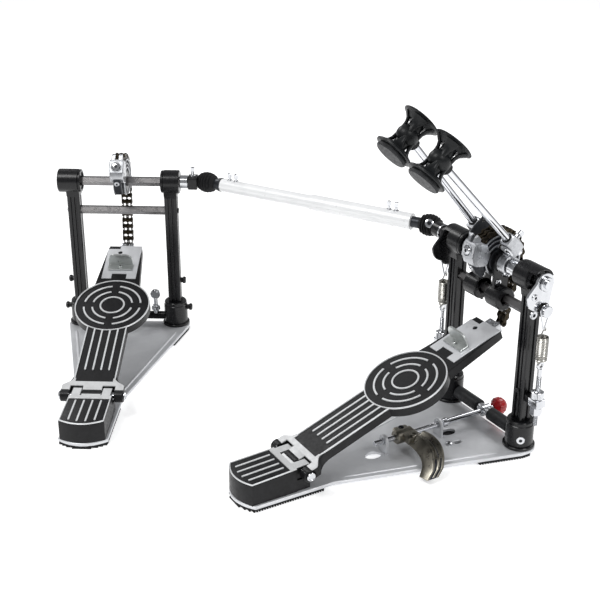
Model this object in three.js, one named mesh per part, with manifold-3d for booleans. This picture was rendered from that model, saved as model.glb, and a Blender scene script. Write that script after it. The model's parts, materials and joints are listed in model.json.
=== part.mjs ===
// Double bass drum pedal: a main pedal that stands at the drum and carries both beaters, and a
// slave pedal that drives the left beater through a telescoping shaft with two universal joints.
//
// Millimetres, +Z up. Each pedal has its own frame: the origin is on the floor midway between the
// feet of its posts, +X is the player's right and +Y points to the drum. The main pedal's frame is
// the assembly's frame until the last lines, which move the origin to the middle of the underside.

import * as THREE from "three";
import { mergeVertices } from "three/addons/utils/BufferGeometryUtils.js";
import Module from "manifold-3d";

const wasm = await Module();
wasm.setup();

// ---------------------------------------------------------------- driving dimensions

const GAP = 0.3; // clearance between touching pieces
const ROUND = 20; // sides of a plain round piece

const AXLE_HEIGHT = 195;
const AXLE_FLATS = 10; // hexagonal axle, across flats
const POST_SPACING = 119;
const POST_WIDTH = 15.5;
const POST_DEPTH = 14;
const CROSSBAR_HEIGHT = 158;
const CROSSBAR_FLATS = 9.2;
const HOUSING_RADIUS = 14.3;
const SOCKET_TOP = 38.5;
const SOCKET_RADIUS = 14.6;
const SPREADER_HEIGHT = 20;
const SLAVE_SPREADER_HEIGHT = 17;

const PAD_THICKNESS = 3;
const PLATE_TOP = 7;
const PLATE_HEEL_END = 305; // behind the axle
const PLATE_HEEL_HALF_WIDTH = 26.5;

const HINGE_BEHIND_AXLE = 236.7;
const HINGE_HEIGHT = 27.7;
const HINGE_HALF_WIDTH = 34.3;
const KNUCKLE_RADIUS = 6.8;
const BOARD_TOP = 6; // above the hinge axis, square to the board
const BOARD_THICKNESS = 12;
const STEM_HALF_WIDTH = 23.2;
const DISC_RADIUS = 44;
const DISC_CENTRE = 142.4; // along the board from the hinge
const TOE_END = 253;
const TOE_HALF_WIDTH = 21;
const TOE_PIN = { along: 268, up: -4 }; // where the chain meets the board

const CHAIN_RADIUS = 31; // pitch radius on the cam
const CHAIN_HALF_THICKNESS = 3.5;
const CHAIN_HALF_WIDTH = 7;
const UNWRAP_ANGLE = 49; // chain that leaves the cam in a full stroke, degrees
const CAM_HALF_WIDTH = 7.4;

const ROD_OFFSET = 17; // the rod passes the axle at this distance, on the drum side
const ROD_RADIUS = 4;
const HEAD_RADIUS = 22.5;
// each beater leans back at rest by an angle from upright, and its head is set up the rod
const BEATERS = {
  right: { x: 20.6, lean: 43.5, along: 152 },
  left: { x: -36, lean: 40.5, along: 158 },
};

const SPRING_X = 81;
const SPRING_ARM = 27.4; // spring anchor below the axle
const SPRING_EYE_HEIGHT = 108;
const COIL_BOTTOM = 113.5;
const COIL_TOP = 141;
const COIL_RADIUS = 6.3;

const SLAVE_PLACE = { x: -424, y: -234.9, turn: 57.9 };
const MAIN_JOINT_X = -112; // universal joint at the left end of the main pedal's left axle
const SLAVE_JOINT_X = 105; // universal joint at the right end of the slave axle, slave frame
const BOOT_RADIUS = 12;

const COLOURS = {
  black: { color: 0x17181b, roughness: 0.45, metalness: 0.2 },
  rubber: { color: 0x131313, roughness: 0.85, metalness: 0 },
  silver: { color: 0xc9cbcf, roughness: 0.3, metalness: 0.9 },
  plate: { color: 0xaeb3ba, roughness: 0.4, metalness: 0.7 },
  chrome: { color: 0xe2e4e8, roughness: 0.12, metalness: 1 },
  nickel: { color: 0x8f897d, roughness: 0.35, metalness: 0.9 },
  chain: { color: 0x2a261f, roughness: 0.4, metalness: 0.8 },
  red: { color: 0xc81e22, roughness: 0.35, metalness: 0 },
};

// ---------------------------------------------------------------- solids

const radians = THREE.MathUtils.degToRad;

function solid(geometry) {
  const bare = geometry.clone();
  bare.deleteAttribute("normal");
  bare.deleteAttribute("uv");
  const merged = mergeVertices(bare, 1e-4);
  return new wasm.Manifold(
    new wasm.Mesh({
      numProp: 3,
      vertProperties: new Float32Array(merged.attributes.position.array),
      triVerts: new Uint32Array(merged.index.array),
    }),
  );
}

function geometryOf(body) {
  const mesh = body.getMesh();
  const geometry = new THREE.BufferGeometry();
  geometry.setAttribute("position", new THREE.BufferAttribute(mesh.vertProperties, 3));
  geometry.setIndex(new THREE.BufferAttribute(mesh.triVerts, 1));
  geometry.computeVertexNormals();
  return geometry;
}

const join = (...bodies) => bodies.reduce((whole, body) => whole.add(body));
const cut = (body, ...tools) => tools.reduce((rest, tool) => rest.subtract(tool), body);

// a box from its two opposite corners
function block(low, high) {
  const size = high.map((value, i) => value - low[i]);
  const middle = high.map((value, i) => (value + low[i]) / 2);
  return solid(new THREE.BoxGeometry(...size).translate(...middle));
}

// a cylinder between two values of one axis; at holds the other two coordinates in X, Y, Z order
function round(axis, from, to, radius, at = [0, 0], sides = ROUND) {
  const geometry = new THREE.CylinderGeometry(radius, radius, to - from, sides);
  const middle = (from + to) / 2;
  if (axis === "x") geometry.rotateZ(-Math.PI / 2).translate(middle, at[0], at[1]);
  if (axis === "y") geometry.translate(at[0], middle, at[1]);
  if (axis === "z") geometry.rotateX(Math.PI / 2).translate(at[0], at[1], middle);
  return solid(geometry);
}

// a hexagonal bar along X, flat side up
const hexBar = (from, to, flats, at) =>
  round("x", from, to, flats / 2 / Math.cos(Math.PI / 6), at, 6);

// a shape drawn in X and Y, between two heights
function slab(shape, bottom, top, curveSegments = 8) {
  const options = { depth: top - bottom, bevelEnabled: false, curveSegments };
  return solid(new THREE.ExtrudeGeometry(shape, options).translate(0, 0, bottom));
}

// a shape drawn in Y and Z, between two values of X
function sideSlab(shape, from, to, curveSegments = 8) {
  const options = { depth: to - from, bevelEnabled: false, curveSegments };
  const geometry = new THREE.ExtrudeGeometry(shape, options);
  const toSide = new THREE.Matrix4().makeBasis(
    new THREE.Vector3(0, 1, 0), new THREE.Vector3(0, 0, 1), new THREE.Vector3(1, 0, 0));
  return solid(geometry.applyMatrix4(toSide).translate(from, 0, 0));
}

// a turned piece about Z; the profile is a list of [radius, height] from the bottom up
function turned(profile, sides = ROUND) {
  const points = profile.map(([radius, height]) => new THREE.Vector2(radius, height));
  return solid(new THREE.LatheGeometry(points, sides).rotateX(Math.PI / 2));
}

function polygon(points) {
  return new THREE.Shape(points.map(([x, y]) => new THREE.Vector2(x, y)));
}

// a ring sector about the origin, angles in degrees; its outer side may be trimmed at each end
function sector(inner, outer, start, end, trimStart = 0, trimEnd = 0) {
  const shape = new THREE.Shape();
  shape.absarc(0, 0, outer, radians(start + trimStart), radians(end - trimEnd), false);
  shape.absarc(0, 0, inner, radians(end), radians(start), true);
  return shape;
}

function piece(group, name, colour, body) {
  const mesh = new THREE.Mesh(geometryOf(body), new THREE.MeshStandardMaterial(COLOURS[colour]));
  mesh.name = name;
  group.add(mesh);
  return mesh;
}

function groupAt(parent, x, y, z) {
  const group = new THREE.Group();
  group.position.set(x, y, z);
  parent.add(group);
  return group;
}

// ---------------------------------------------------------------- base plate and feet

// Half the plate is a straight taper from the post to the heel, and the heel end is a flat arc.
function plateOutline(inset = 0) {
  const corner = POST_SPACING / 2;
  const cornerRadius = 17 - inset;
  const heel = PLATE_HEEL_HALF_WIDTH - inset;
  const heelCorner = -PLATE_HEEL_END + 12 + inset;
  const shape = new THREE.Shape();
  shape.moveTo(-heel, heelCorner);
  shape.quadraticCurveTo(0, -PLATE_HEEL_END - 9 + inset, heel, heelCorner);
  shape.lineTo(heel, -205);
  shape.lineTo(corner + cornerRadius, -8);
  shape.absarc(corner, 0, cornerRadius, 0, radians(100), false);
  shape.lineTo(corner - 18, 3 - inset);
  shape.lineTo(-corner + 18, 3 - inset);
  shape.absarc(-corner, 0, cornerRadius, radians(80), Math.PI, false);
  shape.lineTo(-corner - cornerRadius, -8);
  shape.lineTo(-heel, -205);
  return shape;
}

const CLAMP_ROD = { x: 3, z: SPREADER_HEIGHT, radius: 3, lugs: [-131, -62] };

function oval(x, y, halfWidth, halfLength) {
  const shape = new THREE.Shape();
  shape.absellipse(x, y, halfWidth, halfLength, 0, 2 * Math.PI, false, 0);
  return shape;
}

// Lugs bent up out of the main plate hold the clamp rod; each leaves an oval hole behind it.
function lug(y) {
  const { x, z, radius } = CLAMP_ROD;
  const plate = join(
    block([x - 7, y - 1.5, PLATE_TOP - 1], [x + 7, y + 1.5, z]),
    round("y", y - 1.5, y + 1.5, 7, [x, z], 16),
  );
  return cut(plate, round("y", y - 3, y + 3, radius + GAP, [x, z], 12));
}

function addBase(group, name, withClamp) {
  let plate = slab(plateOutline(), PAD_THICKNESS + GAP, PLATE_TOP);
  if (withClamp) {
    const [rear, front] = CLAMP_ROD.lugs;
    const holes = [
      slab(oval(CLAMP_ROD.x, rear - 13, 6, 9), 0, 20, 5),
      slab(oval(CLAMP_ROD.x, front + 13, 6, 9), 0, 20, 5),
      slab(oval(25, -56, 3, 6), 0, 20, 4),
    ];
    plate = join(cut(plate, ...holes), lug(rear), lug(front));
  }
  piece(group, `${name}_base_plate`, "plate", plate);
  const outline = slab(plateOutline(0.6), 0, PAD_THICKNESS);
  const heelPad = outline.intersect(block([-90, -320, -1], [90, -216, 9]));
  const frontPad = outline.intersect(block([-90, -54, -1], [90, 30, 9]));
  piece(group, `${name}_heel_pad`, "rubber", heelPad);
  piece(group, `${name}_front_pad`, "rubber", frontPad);
}

// ---------------------------------------------------------------- heel plate and footboard

const FINGER = { inner: 11.5, outer: 21.5 }; // the heel plate's two hinge fingers

function addHeelPlate(group, name) {
  const half = 24.2;
  const back = -PLATE_HEEL_END + 2;
  const outline = new THREE.Shape();
  outline.moveTo(-half, back + 8);
  outline.quadraticCurveTo(0, back - 7, half, back + 8);
  outline.lineTo(half - 0.6, -HINGE_BEHIND_AXLE - KNUCKLE_RADIUS - 2);
  outline.lineTo(-half + 0.6, -HINGE_BEHIND_AXLE - KNUCKLE_RADIUS - 2);
  const top = HINGE_HEIGHT + BOARD_TOP;
  const wedge = polygon([
    [-330, PLATE_TOP + GAP], [-200, PLATE_TOP + GAP], [-200, top], [-HINGE_BEHIND_AXLE, top],
    [-PLATE_HEEL_END, 30], [-330, 30],
  ]);
  let body = slab(outline, 0, 60).intersect(sideSlab(wedge, -60, 60));
  const fingerSide = polygon([
    [-HINGE_BEHIND_AXLE - 12, PLATE_TOP + GAP], [-HINGE_BEHIND_AXLE + 2, PLATE_TOP + GAP],
    [-HINGE_BEHIND_AXLE + KNUCKLE_RADIUS, HINGE_HEIGHT - 5],
    [-HINGE_BEHIND_AXLE + KNUCKLE_RADIUS, HINGE_HEIGHT + 2],
    [-HINGE_BEHIND_AXLE + 4, top - 0.8], [-HINGE_BEHIND_AXLE - 12, top - 1.2],
  ]);
  for (const side of [-1, 1]) {
    const from = side > 0 ? FINGER.inner : -FINGER.outer;
    body = join(body, sideSlab(fingerSide, from, from + FINGER.outer - FINGER.inner));
  }
  const bore = round("x", -60, 60, 2.5 + GAP, [-HINGE_BEHIND_AXLE, HINGE_HEIGHT], 12);
  piece(group, `${name}_heel_plate`, "black", cut(body, bore));
  const shank = round("x", -HINGE_HALF_WIDTH - 0.6, HINGE_HALF_WIDTH + 0.6, 2.5, [0, 0], 12);
  const heads = [-1, 1].map((side) => {
    const ends = [HINGE_HALF_WIDTH + 0.5, HINGE_HALF_WIDTH + 2.5].map((x) => side * x);
    return round("x", Math.min(...ends), Math.max(...ends), 4.6, [0, 0], 14);
  });
  const hinge = groupAt(group, 0, -HINGE_BEHIND_AXLE, HINGE_HEIGHT);
  piece(hinge, `${name}_hinge_pin`, "silver", join(shank, ...heads));
}

// In the board's own frame the hinge axis is the origin, +Y runs along the board to the toe.
function boardOutline() {
  const meet = Math.sqrt(DISC_RADIUS ** 2 - STEM_HALF_WIDTH ** 2);
  const toeMeet = Math.sqrt(DISC_RADIUS ** 2 - 27 ** 2);
  const shape = new THREE.Shape();
  shape.moveTo(-HINGE_HALF_WIDTH, -1);
  shape.lineTo(HINGE_HALF_WIDTH, -1);
  shape.lineTo(HINGE_HALF_WIDTH, 10);
  shape.lineTo(STEM_HALF_WIDTH, 20);
  shape.lineTo(STEM_HALF_WIDTH, DISC_CENTRE - meet);
  shape.absarc(0, DISC_CENTRE, DISC_RADIUS, Math.atan2(-meet, STEM_HALF_WIDTH),
    Math.atan2(toeMeet, 27), false);
  shape.lineTo(TOE_HALF_WIDTH, TOE_END);
  shape.lineTo(-TOE_HALF_WIDTH, TOE_END);
  shape.lineTo(-27, DISC_CENTRE + toeMeet);
  shape.absarc(0, DISC_CENTRE, DISC_RADIUS, Math.PI - Math.atan2(toeMeet, 27),
    Math.PI + Math.atan2(meet, STEM_HALF_WIDTH), false);
  shape.lineTo(-STEM_HALF_WIDTH, 20);
  shape.lineTo(-HINGE_HALF_WIDTH, 10);
  return shape;
}

function addFootboard(group, name, angle) {
  const hinge = groupAt(group, 0, -HINGE_BEHIND_AXLE, HINGE_HEIGHT);
  hinge.rotation.x = radians(angle);
  const bottom = BOARD_TOP - BOARD_THICKNESS;
  let body = slab(boardOutline(), bottom, BOARD_TOP, 10);
  const knuckles = [
    [-HINGE_HALF_WIDTH, -FINGER.outer - 3.2], [-FINGER.inner + 1, FINGER.inner - 1],
    [FINGER.outer + 3.2, HINGE_HALF_WIDTH],
  ];
  body = cut(body, block([-FINGER.outer - 3.2, -9, -20], [FINGER.outer + 3.2, 9.5, 20]));
  for (const [from, to] of knuckles) {
    const arm = block([from, 0, bottom], [to, 12, BOARD_TOP]);
    body = join(body, round("x", from, to, KNUCKLE_RADIUS, [0, 0], 16), arm);
  }
  body = cut(body, round("x", -60, 60, 2.5 + GAP, [0, 0], 12));
  piece(hinge, `${name}_footboard`, "black", body);

  // the toe stop is an angle plate screwed to the toe plate, its upright leg towards the chain
  const foot = BOARD_TOP + GAP;
  const upright = new THREE.Shape();
  upright.moveTo(-15, foot);
  upright.lineTo(15, foot);
  upright.absarc(6, foot + 8, 9, 0, Math.PI / 2, false);
  upright.absarc(-6, foot + 8, 9, Math.PI / 2, Math.PI, false);
  const standing = solid(new THREE.ExtrudeGeometry(upright, { depth: 2, bevelEnabled: false,
    curveSegments: 4 }).rotateX(Math.PI / 2).translate(0, 215, 0));
  const lying = block([-15, 200, foot], [15, 214, foot + 2]);
  piece(hinge, `${name}_toe_stop`, "silver", join(standing, lying));

  const clampBottom = -8;
  const claspTop = 3;
  let clasp = block([-8.5, TOE_END + GAP, clampBottom], [8.5, TOE_PIN.along - 6.5, claspTop]);
  clasp = join(clasp, block([-1.2, TOE_END + 2, TOE_PIN.up - 2.5],
    [1.2, TOE_PIN.along + 1, TOE_PIN.up + 2.5]));
  piece(hinge, `${name}_chain_clasp`, "silver", clasp);
}

// ---------------------------------------------------------------- cam and chain

// Where the chain meets the board, and where it touches the cam, in the pedal's Y and Z.
function chainRoute(boardAngle) {
  const [c, s] = [Math.cos(radians(boardAngle)), Math.sin(radians(boardAngle))];
  const pin = new THREE.Vector2(
    -HINGE_BEHIND_AXLE + TOE_PIN.along * c - TOE_PIN.up * s,
    HINGE_HEIGHT + TOE_PIN.along * s + TOE_PIN.up * c,
  );
  const toPin = new THREE.Vector2(pin.x, pin.y - AXLE_HEIGHT);
  const touch = toPin.angle() - 2 * Math.PI + Math.acos(CHAIN_RADIUS / toPin.length());
  const leave = THREE.MathUtils.radToDeg(touch);
  const top = new THREE.Vector2(Math.cos(touch), Math.sin(touch)).multiplyScalar(CHAIN_RADIUS);
  return { pin, leave, top: new THREE.Vector2(top.x, top.y + AXLE_HEIGHT) };
}

function camOutline() {
  const seat = CHAIN_RADIUS - CHAIN_HALF_THICKNESS - GAP;
  const shape = new THREE.Shape();
  shape.absarc(0, 0, seat, radians(-14), radians(143), false);
  shape.absarc(0, 0, 17.5, radians(200), radians(318), false);
  const hexagon = new THREE.Path();
  const corner = (AXLE_FLATS / 2 + GAP) / Math.cos(Math.PI / 6);
  hexagon.absarc(0, 0, corner, 0, 2 * Math.PI, false);
  shape.holes.push(hexagon);
  return shape;
}

function addCam(group, name, boardAngle, phase) {
  const route = chainRoute(boardAngle);
  const axle = groupAt(group, 0, 0, AXLE_HEIGHT);
  const inner = CHAIN_RADIUS - CHAIN_HALF_THICKNESS;
  const outer = CHAIN_RADIUS + CHAIN_HALF_THICKNESS;
  const gapAngle = 0.7;
  const bendRoom = 2.6; // the outer sides close up as the leading links straighten
  const link = sector(inner, outer, route.leave + gapAngle,
    route.leave + UNWRAP_ANGLE - gapAngle / 2, 0, bendRoom);
  const wrapEnd = 143 + phase;
  const wrap = sector(inner, outer, route.leave + UNWRAP_ANGLE + gapAngle / 2, wrapEnd, bendRoom);
  const half = CHAIN_HALF_WIDTH;
  piece(axle, `${name}_chain_lead`, "chain", sideSlab(link, -half, half, 6));
  piece(axle, `${name}_chain_wrap`, "chain", sideSlab(wrap, -half, half, 8));

  // the clamp block bolts the chain's end to the heel side of the cam
  const wheel = sideSlab(camOutline(), -CAM_HALF_WIDTH, CAM_HALF_WIDTH, 10);
  const grip = polygon([
    [-17, 19.8], [-25, 26], [-34.5, 26], [-38.5, 6], [-28, -9], [-14, -14], [-10, 8],
  ]);
  const turnedCam = join(wheel, sideSlab(grip, -8.6, 8.6));
  const clearance = sideSlab(sector(inner - GAP, outer + 12, 40, 143.6), -20, 20);
  const cam = piece(axle, `${name}_cam`, "silver", cut(turnedCam, clearance));
  cam.rotation.x = radians(phase);

  const run = new THREE.Vector2().subVectors(route.top, route.pin);
  const chain = groupAt(group, 0, route.pin.x, route.pin.y);
  chain.rotation.x = Math.atan2(run.y, run.x) - Math.PI / 2;
  const strip = block([-half, -CHAIN_HALF_THICKNESS, -3.2],
    [half, CHAIN_HALF_THICKNESS, run.length() - GAP]);
  const slot = block([-1.6, -20, -9], [1.6, 20, 5]);
  piece(chain, `${name}_chain_run`, "chain", cut(strip, slot));
}

// ---------------------------------------------------------------- posts and axles

function postSection(x) {
  const half = { x: POST_WIDTH / 2, y: POST_DEPTH / 2 };
  const groove = 1.2;
  const corner = 1.2;
  return polygon([
    [x - half.x, -half.y + corner], [x - half.x + corner, -half.y], [x - 2, -half.y],
    [x - 1, -half.y + groove], [x + 1, -half.y + groove], [x + 2, -half.y],
    [x + half.x - corner, -half.y], [x + half.x, -half.y + corner],
    [x + half.x, half.y - corner], [x + half.x - corner, half.y],
    [x - half.x + corner, half.y], [x - half.x, half.y - corner],
  ]);
}

// side is -1 for the left post and +1 for the right; foot is a socket made in one with the post
function addPost(group, name, side, housing, foot) {
  const x = (side * POST_SPACING) / 2;
  const [from, to] = [side * housing.inner, side * housing.outer].sort((a, b) => a - b);
  const drum = round("x", from, to, HOUSING_RADIUS, [0, AXLE_HEIGHT]);
  const column = slab(postSection(x), SOCKET_TOP + GAP, AXLE_HEIGHT - 6);
  const bore = round("x", -120, 120, AXLE_FLATS / 2 / Math.cos(Math.PI / 6) + 2, [0, AXLE_HEIGHT]);
  let body = cut(join(drum, column), bore);
  if (housing.hood) {
    // outboard of the bearing the housing runs on as a hood, open towards the heel and the floor
    const [near, far] = [side * housing.outer, side * housing.hood].sort((a, b) => a - b);
    const shell = sector(HOUSING_RADIUS - 2.2, HOUSING_RADIUS, 20, 136);
    const hood = sideSlab(shell, near - 0.5, far + 0.5, 12);
    const lowered = hood.translate([0, 0, AXLE_HEIGHT]);
    const eyeBar = block([Math.min(x, side * (SPRING_X + 7)), -5, EYE_BLOCK.bottom],
      [Math.max(x, side * (SPRING_X + 7)), 5, EYE_BLOCK.top]);
    const rodHole = round("z", 0, 200, EYE_ROD_RADIUS + GAP, [side * SPRING_X, 0], 12);
    body = join(body, lowered, cut(eyeBar, rodHole));
  }
  if (foot) body = join(body, foot);
  const barHole = hexBar(-POST_SPACING / 2 + POST_WIDTH / 2 - 3.3,
    POST_SPACING / 2 - POST_WIDTH / 2 + 3.3, CROSSBAR_FLATS + 2 * GAP, [0, CROSSBAR_HEIGHT]);
  piece(group, `${name}_post_${side < 0 ? "left" : "right"}`, "black", cut(body, barHole));
}

function addCrossbar(group, name) {
  const half = POST_SPACING / 2 - POST_WIDTH / 2 + 3;
  piece(group, `${name}_crossbar`, "nickel",
    hexBar(-half, half, CROSSBAR_FLATS, [0, CROSSBAR_HEIGHT]));
}

function socketBody(side) {
  const x = (side * POST_SPACING) / 2;
  const bottom = PLATE_TOP + GAP;
  return join(
    round("z", bottom, bottom + 3, SOCKET_RADIUS + 2.2, [x, 0], 24),
    round("z", bottom + 2, SOCKET_TOP, SOCKET_RADIUS, [x, 0], 24),
  );
}

// ---------------------------------------------------------------- springs

const EYE_ROD_RADIUS = 2.6;
const EYE_BLOCK = { bottom: 62, top: 71 };

// The plate on the axle's end carries the spring anchor below the axle.
function addSpring(group, side) {
  const name = side < 0 ? "left" : "right";
  const axle = groupAt(group, 0, 0, AXLE_HEIGHT);
  const [inner, outer] = [side * 75, side * 78].sort((a, b) => a - b);
  const outline = new THREE.Shape();
  outline.absarc(0, 0, 11, radians(-20), radians(200), false);
  outline.lineTo(-22, -11);
  outline.lineTo(-9, -26);
  outline.absarc(0, -SPRING_ARM, 6, radians(200), radians(350), false);
  const boreRadius = AXLE_FLATS / 2 / Math.cos(Math.PI / 6) + GAP;
  const pinEnds = [side * 77, side * 85].sort((a, b) => a - b);
  const plate = join(
    cut(sideSlab(outline, inner, outer), round("x", -90, 90, boreRadius)),
    round("x", pinEnds[0], pinEnds[1], 1.8, [0, -SPRING_ARM], 12),
  );
  piece(axle, `${name}_spring_plate`, "silver", plate);

  const spring = groupAt(group, side * SPRING_X, 0, 0);
  piece(spring, `${name}_spring_coil`, "nickel", round("z", COIL_BOTTOM, COIL_TOP, COIL_RADIUS));

  // a wire loop links the coil to the anchor pin
  const anchor = AXLE_HEIGHT - SPRING_ARM;
  const loop = new THREE.Shape();
  loop.absarc(0, anchor, 6.8, radians(-20), radians(200), false);
  loop.lineTo(-2.4, COIL_TOP + GAP);
  loop.lineTo(2.4, COIL_TOP + GAP);
  const eye = new THREE.Path();
  eye.absarc(0, anchor, 5.2, radians(-20), radians(200), false);
  eye.lineTo(-1.2, COIL_TOP + 6);
  eye.lineTo(1.2, COIL_TOP + 6);
  loop.holes.push(eye);
  piece(spring, `${name}_spring_loop`, "silver", sideSlab(loop, -1.2, 1.2, 8));

  // threaded eye rod, held in the post's block by a knurled nut above and a hex nut below
  const ring = cut(
    round("x", -1.5, 1.5, 4.4, [0, SPRING_EYE_HEIGHT], 16),
    round("x", -5, 5, 2, [0, SPRING_EYE_HEIGHT], 12),
  );
  const rod = join(
    ring,
    round("z", 40, SPRING_EYE_HEIGHT - 3, EYE_ROD_RADIUS, [0, 0], 12),
    round("z", EYE_BLOCK.top + GAP, EYE_BLOCK.top + 8, 6.5, [0, 0], 16),
    round("z", EYE_BLOCK.bottom - 9, EYE_BLOCK.bottom - GAP, 6, [0, 0], 6),
  );
  piece(spring, `${name}_spring_rod`, "silver", rod);
}

// ---------------------------------------------------------------- beaters

// In the rod's own frame the axle is the origin, +Z runs up the rod and +Y faces the drum.
function addBeater(group, name) {
  const { x, lean, along } = BEATERS[name];
  const tilt = groupAt(group, x, 0, AXLE_HEIGHT);
  tilt.rotation.x = radians(lean);
  const boreRadius = AXLE_FLATS / 2 / Math.cos(Math.PI / 6) + GAP;
  const hub = cut(
    join(
      round("x", -6.5, 6.5, 11.5),
      block([-6.5, ROD_OFFSET - 9, 1], [6.5, ROD_OFFSET + 8, 24]),
      block([-6.5, 0, 2], [6.5, ROD_OFFSET, 10]),
    ),
    round("x", -20, 20, boreRadius),
    round("z", -20, 60, ROD_RADIUS + GAP, [0, ROD_OFFSET], 14),
  );
  piece(tilt, `${name}_beater_hub`, "silver", hub);

  piece(tilt, `${name}_beater_rod`, "chrome",
    round("z", -2, along + 10, ROD_RADIUS, [0, ROD_OFFSET], 14));

  const profile = [
    [0, -26], [15.5, -26], [17.5, -24.5], [17.5, -21.5], [20.5, -20.5], [21.3, -18],
    [14, -10], [12.5, -2], [12.5, 3], [14, 10], [HEAD_RADIUS, 19.5], [HEAD_RADIUS, 21.5],
    [0, 21.5],
  ];
  const spool = turned(profile, 24).rotate([-90, 0, 0]);
  const ball = round("z", -15, 15, 10, [0, 0], 18);
  const bore = round("z", -40, 10 + GAP, ROD_RADIUS + GAP, [0, 0], 14);
  const head = groupAt(tilt, 0, ROD_OFFSET, along);
  piece(head, `${name}_beater_head`, "black", cut(join(spool, ball), bore));
}

// A bearing bracket clamped on the crossbar carries the inner end of an axle.
function addBracket(group, name, foot, upright) {
  const bearing = [0, AXLE_HEIGHT];
  const boreRadius = AXLE_FLATS / 2 / Math.cos(Math.PI / 6) + 1;
  const body = join(
    round("x", foot[0], foot[1], 12.5, [-2, CROSSBAR_HEIGHT]),
    block([upright[0], -9, CROSSBAR_HEIGHT], [upright[1], 7, AXLE_HEIGHT]),
    round("x", upright[0], upright[1], 10.5, bearing),
  );
  const chainRoom = block([-9.2, 9.5, 100], [9.2, 40, 260]);
  const camRoom = round("x", -9, 9, CHAIN_RADIUS + CHAIN_HALF_THICKNESS + 1, [0, AXLE_HEIGHT], 28);
  piece(group, name, "black", cut(
    body,
    hexBar(-60, 60, CROSSBAR_FLATS + 2 * GAP, [0, CROSSBAR_HEIGHT]),
    round("x", -60, 60, boreRadius, bearing),
    chainRoom,
    camRoom,
  ));
}

// ---------------------------------------------------------------- hoop clamp

function addHoopClamp(group) {
  const { x, z, radius } = CLAMP_ROD;
  const rod = groupAt(group, x, 0, z);
  piece(rod, "clamp_rod", "chrome", round("y", -143, 10, radius, [0, 0], 14));
  const knobProfile = [[0, 10.5], [5.5, 10.5], [9.3, 15], [9.3, 21.5], [6, 26], [0, 26]];
  piece(rod, "clamp_knob", "red", turned(knobProfile).rotate([-90, 0, 0]));

  // the cast lever is clamped round the rod and curls down over the right edge of the plate
  const collar = cut(
    join(
      round("y", -118, -96, 8.2, [0, 0], 16),
      block([0, -112, -3], [18, -94, 6]),
    ),
    round("y", -160, 40, radius + GAP, [0, 0], 14),
  );
  const jaw = new THREE.Shape();
  jaw.moveTo(10, -2);
  jaw.lineTo(14, 6);
  jaw.bezierCurveTo(38, 8, 60, 6, 66, -14);
  jaw.lineTo(54, -15.5);
  jaw.bezierCurveTo(50, -4, 30, -3, 10, -2);
  const options = { depth: 16, bevelEnabled: false, curveSegments: 8 };
  // it also leans towards the heel as it drops, so it is sheared
  const arm = solid(new THREE.ExtrudeGeometry(jaw, options).rotateX(Math.PI / 2)
    .translate(0, -94, 0)
    .applyMatrix4(new THREE.Matrix4().makeShear(0, 0, 0, 0, 0, 1)));
  piece(rod, "clamp_lever", "nickel", join(collar, arm));
}

// ---------------------------------------------------------------- the two pedals

const MAIN_BOARD_ANGLE = 20.76;
const SLAVE_BOARD_ANGLE = 17.66;
const SLAVE_CAM_PHASE = -20;
const BEARING_INNER = 48.6;

function addPedal(group, name, boardAngle, camPhase) {
  addHeelPlate(group, name);
  addFootboard(group, name, boardAngle);
  addCam(group, name, boardAngle, camPhase);
  addCrossbar(group, name);
}

function buildMain(assembly) {
  addBase(assembly, "main", true);
  addPedal(assembly, "main", MAIN_BOARD_ANGLE, 0);
  for (const side of [-1, 1]) {
    addPost(assembly, "main", side, { inner: 43, outer: 64, hood: 74 });
    const spreaderHole = round("x", -60, 60, 5 + GAP, [0, SPREADER_HEIGHT], 14);
    piece(assembly, `main_socket_${side < 0 ? "left" : "right"}`, "black",
      cut(socketBody(side), spreaderHole.intersect(block([-50, -9, 0], [50, 9, 40]))));
    addSpring(assembly, side);
  }
  // a rod braces the two sockets; rubber sleeves leave it bare round the clamp rod
  const sleeveEnd = POST_SPACING / 2 - SOCKET_RADIUS - 0.4;
  const spreader = join(
    round("x", -49, 49, 5, [0, SPREADER_HEIGHT], 14),
    round("x", -sleeveEnd, CLAMP_ROD.x - 9, 7.2, [0, SPREADER_HEIGHT]),
    round("x", CLAMP_ROD.x + 9, sleeveEnd, 7.2, [0, SPREADER_HEIGHT]),
    round("y", -6, 6, 6, [CLAMP_ROD.x, SPREADER_HEIGHT]),
  );
  piece(assembly, "main_spreader", "rubber", cut(spreader,
    round("y", -20, 20, CLAMP_ROD.radius + GAP, [CLAMP_ROD.x, SPREADER_HEIGHT], 14)));
  addHoopClamp(assembly);

  const atAxle = [0, AXLE_HEIGHT];
  piece(assembly, "main_axle", "silver", join(
    hexBar(-8.6, 80.5, AXLE_FLATS, atAxle),
    round("x", 28, 42.6, 8.5, atAxle),
    round("x", 79.5, 83, 7.5, atAxle),
  ));
  piece(assembly, "left_axle", "silver", join(
    hexBar(MAIN_JOINT_X + BOOT_RADIUS + 0.6, -11, AXLE_FLATS, atAxle),
    round("x", MAIN_JOINT_X + BOOT_RADIUS + 0.5, -86, 8.5, atAxle),
  ));
  addBeater(assembly, "right");
  addBeater(assembly, "left");
  addBracket(assembly, "centre_bracket_left", [-32, -12], [-17, -12]);
  addBracket(assembly, "centre_bracket_right", [4, 24], [9.4, 13.4]);
}

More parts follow.
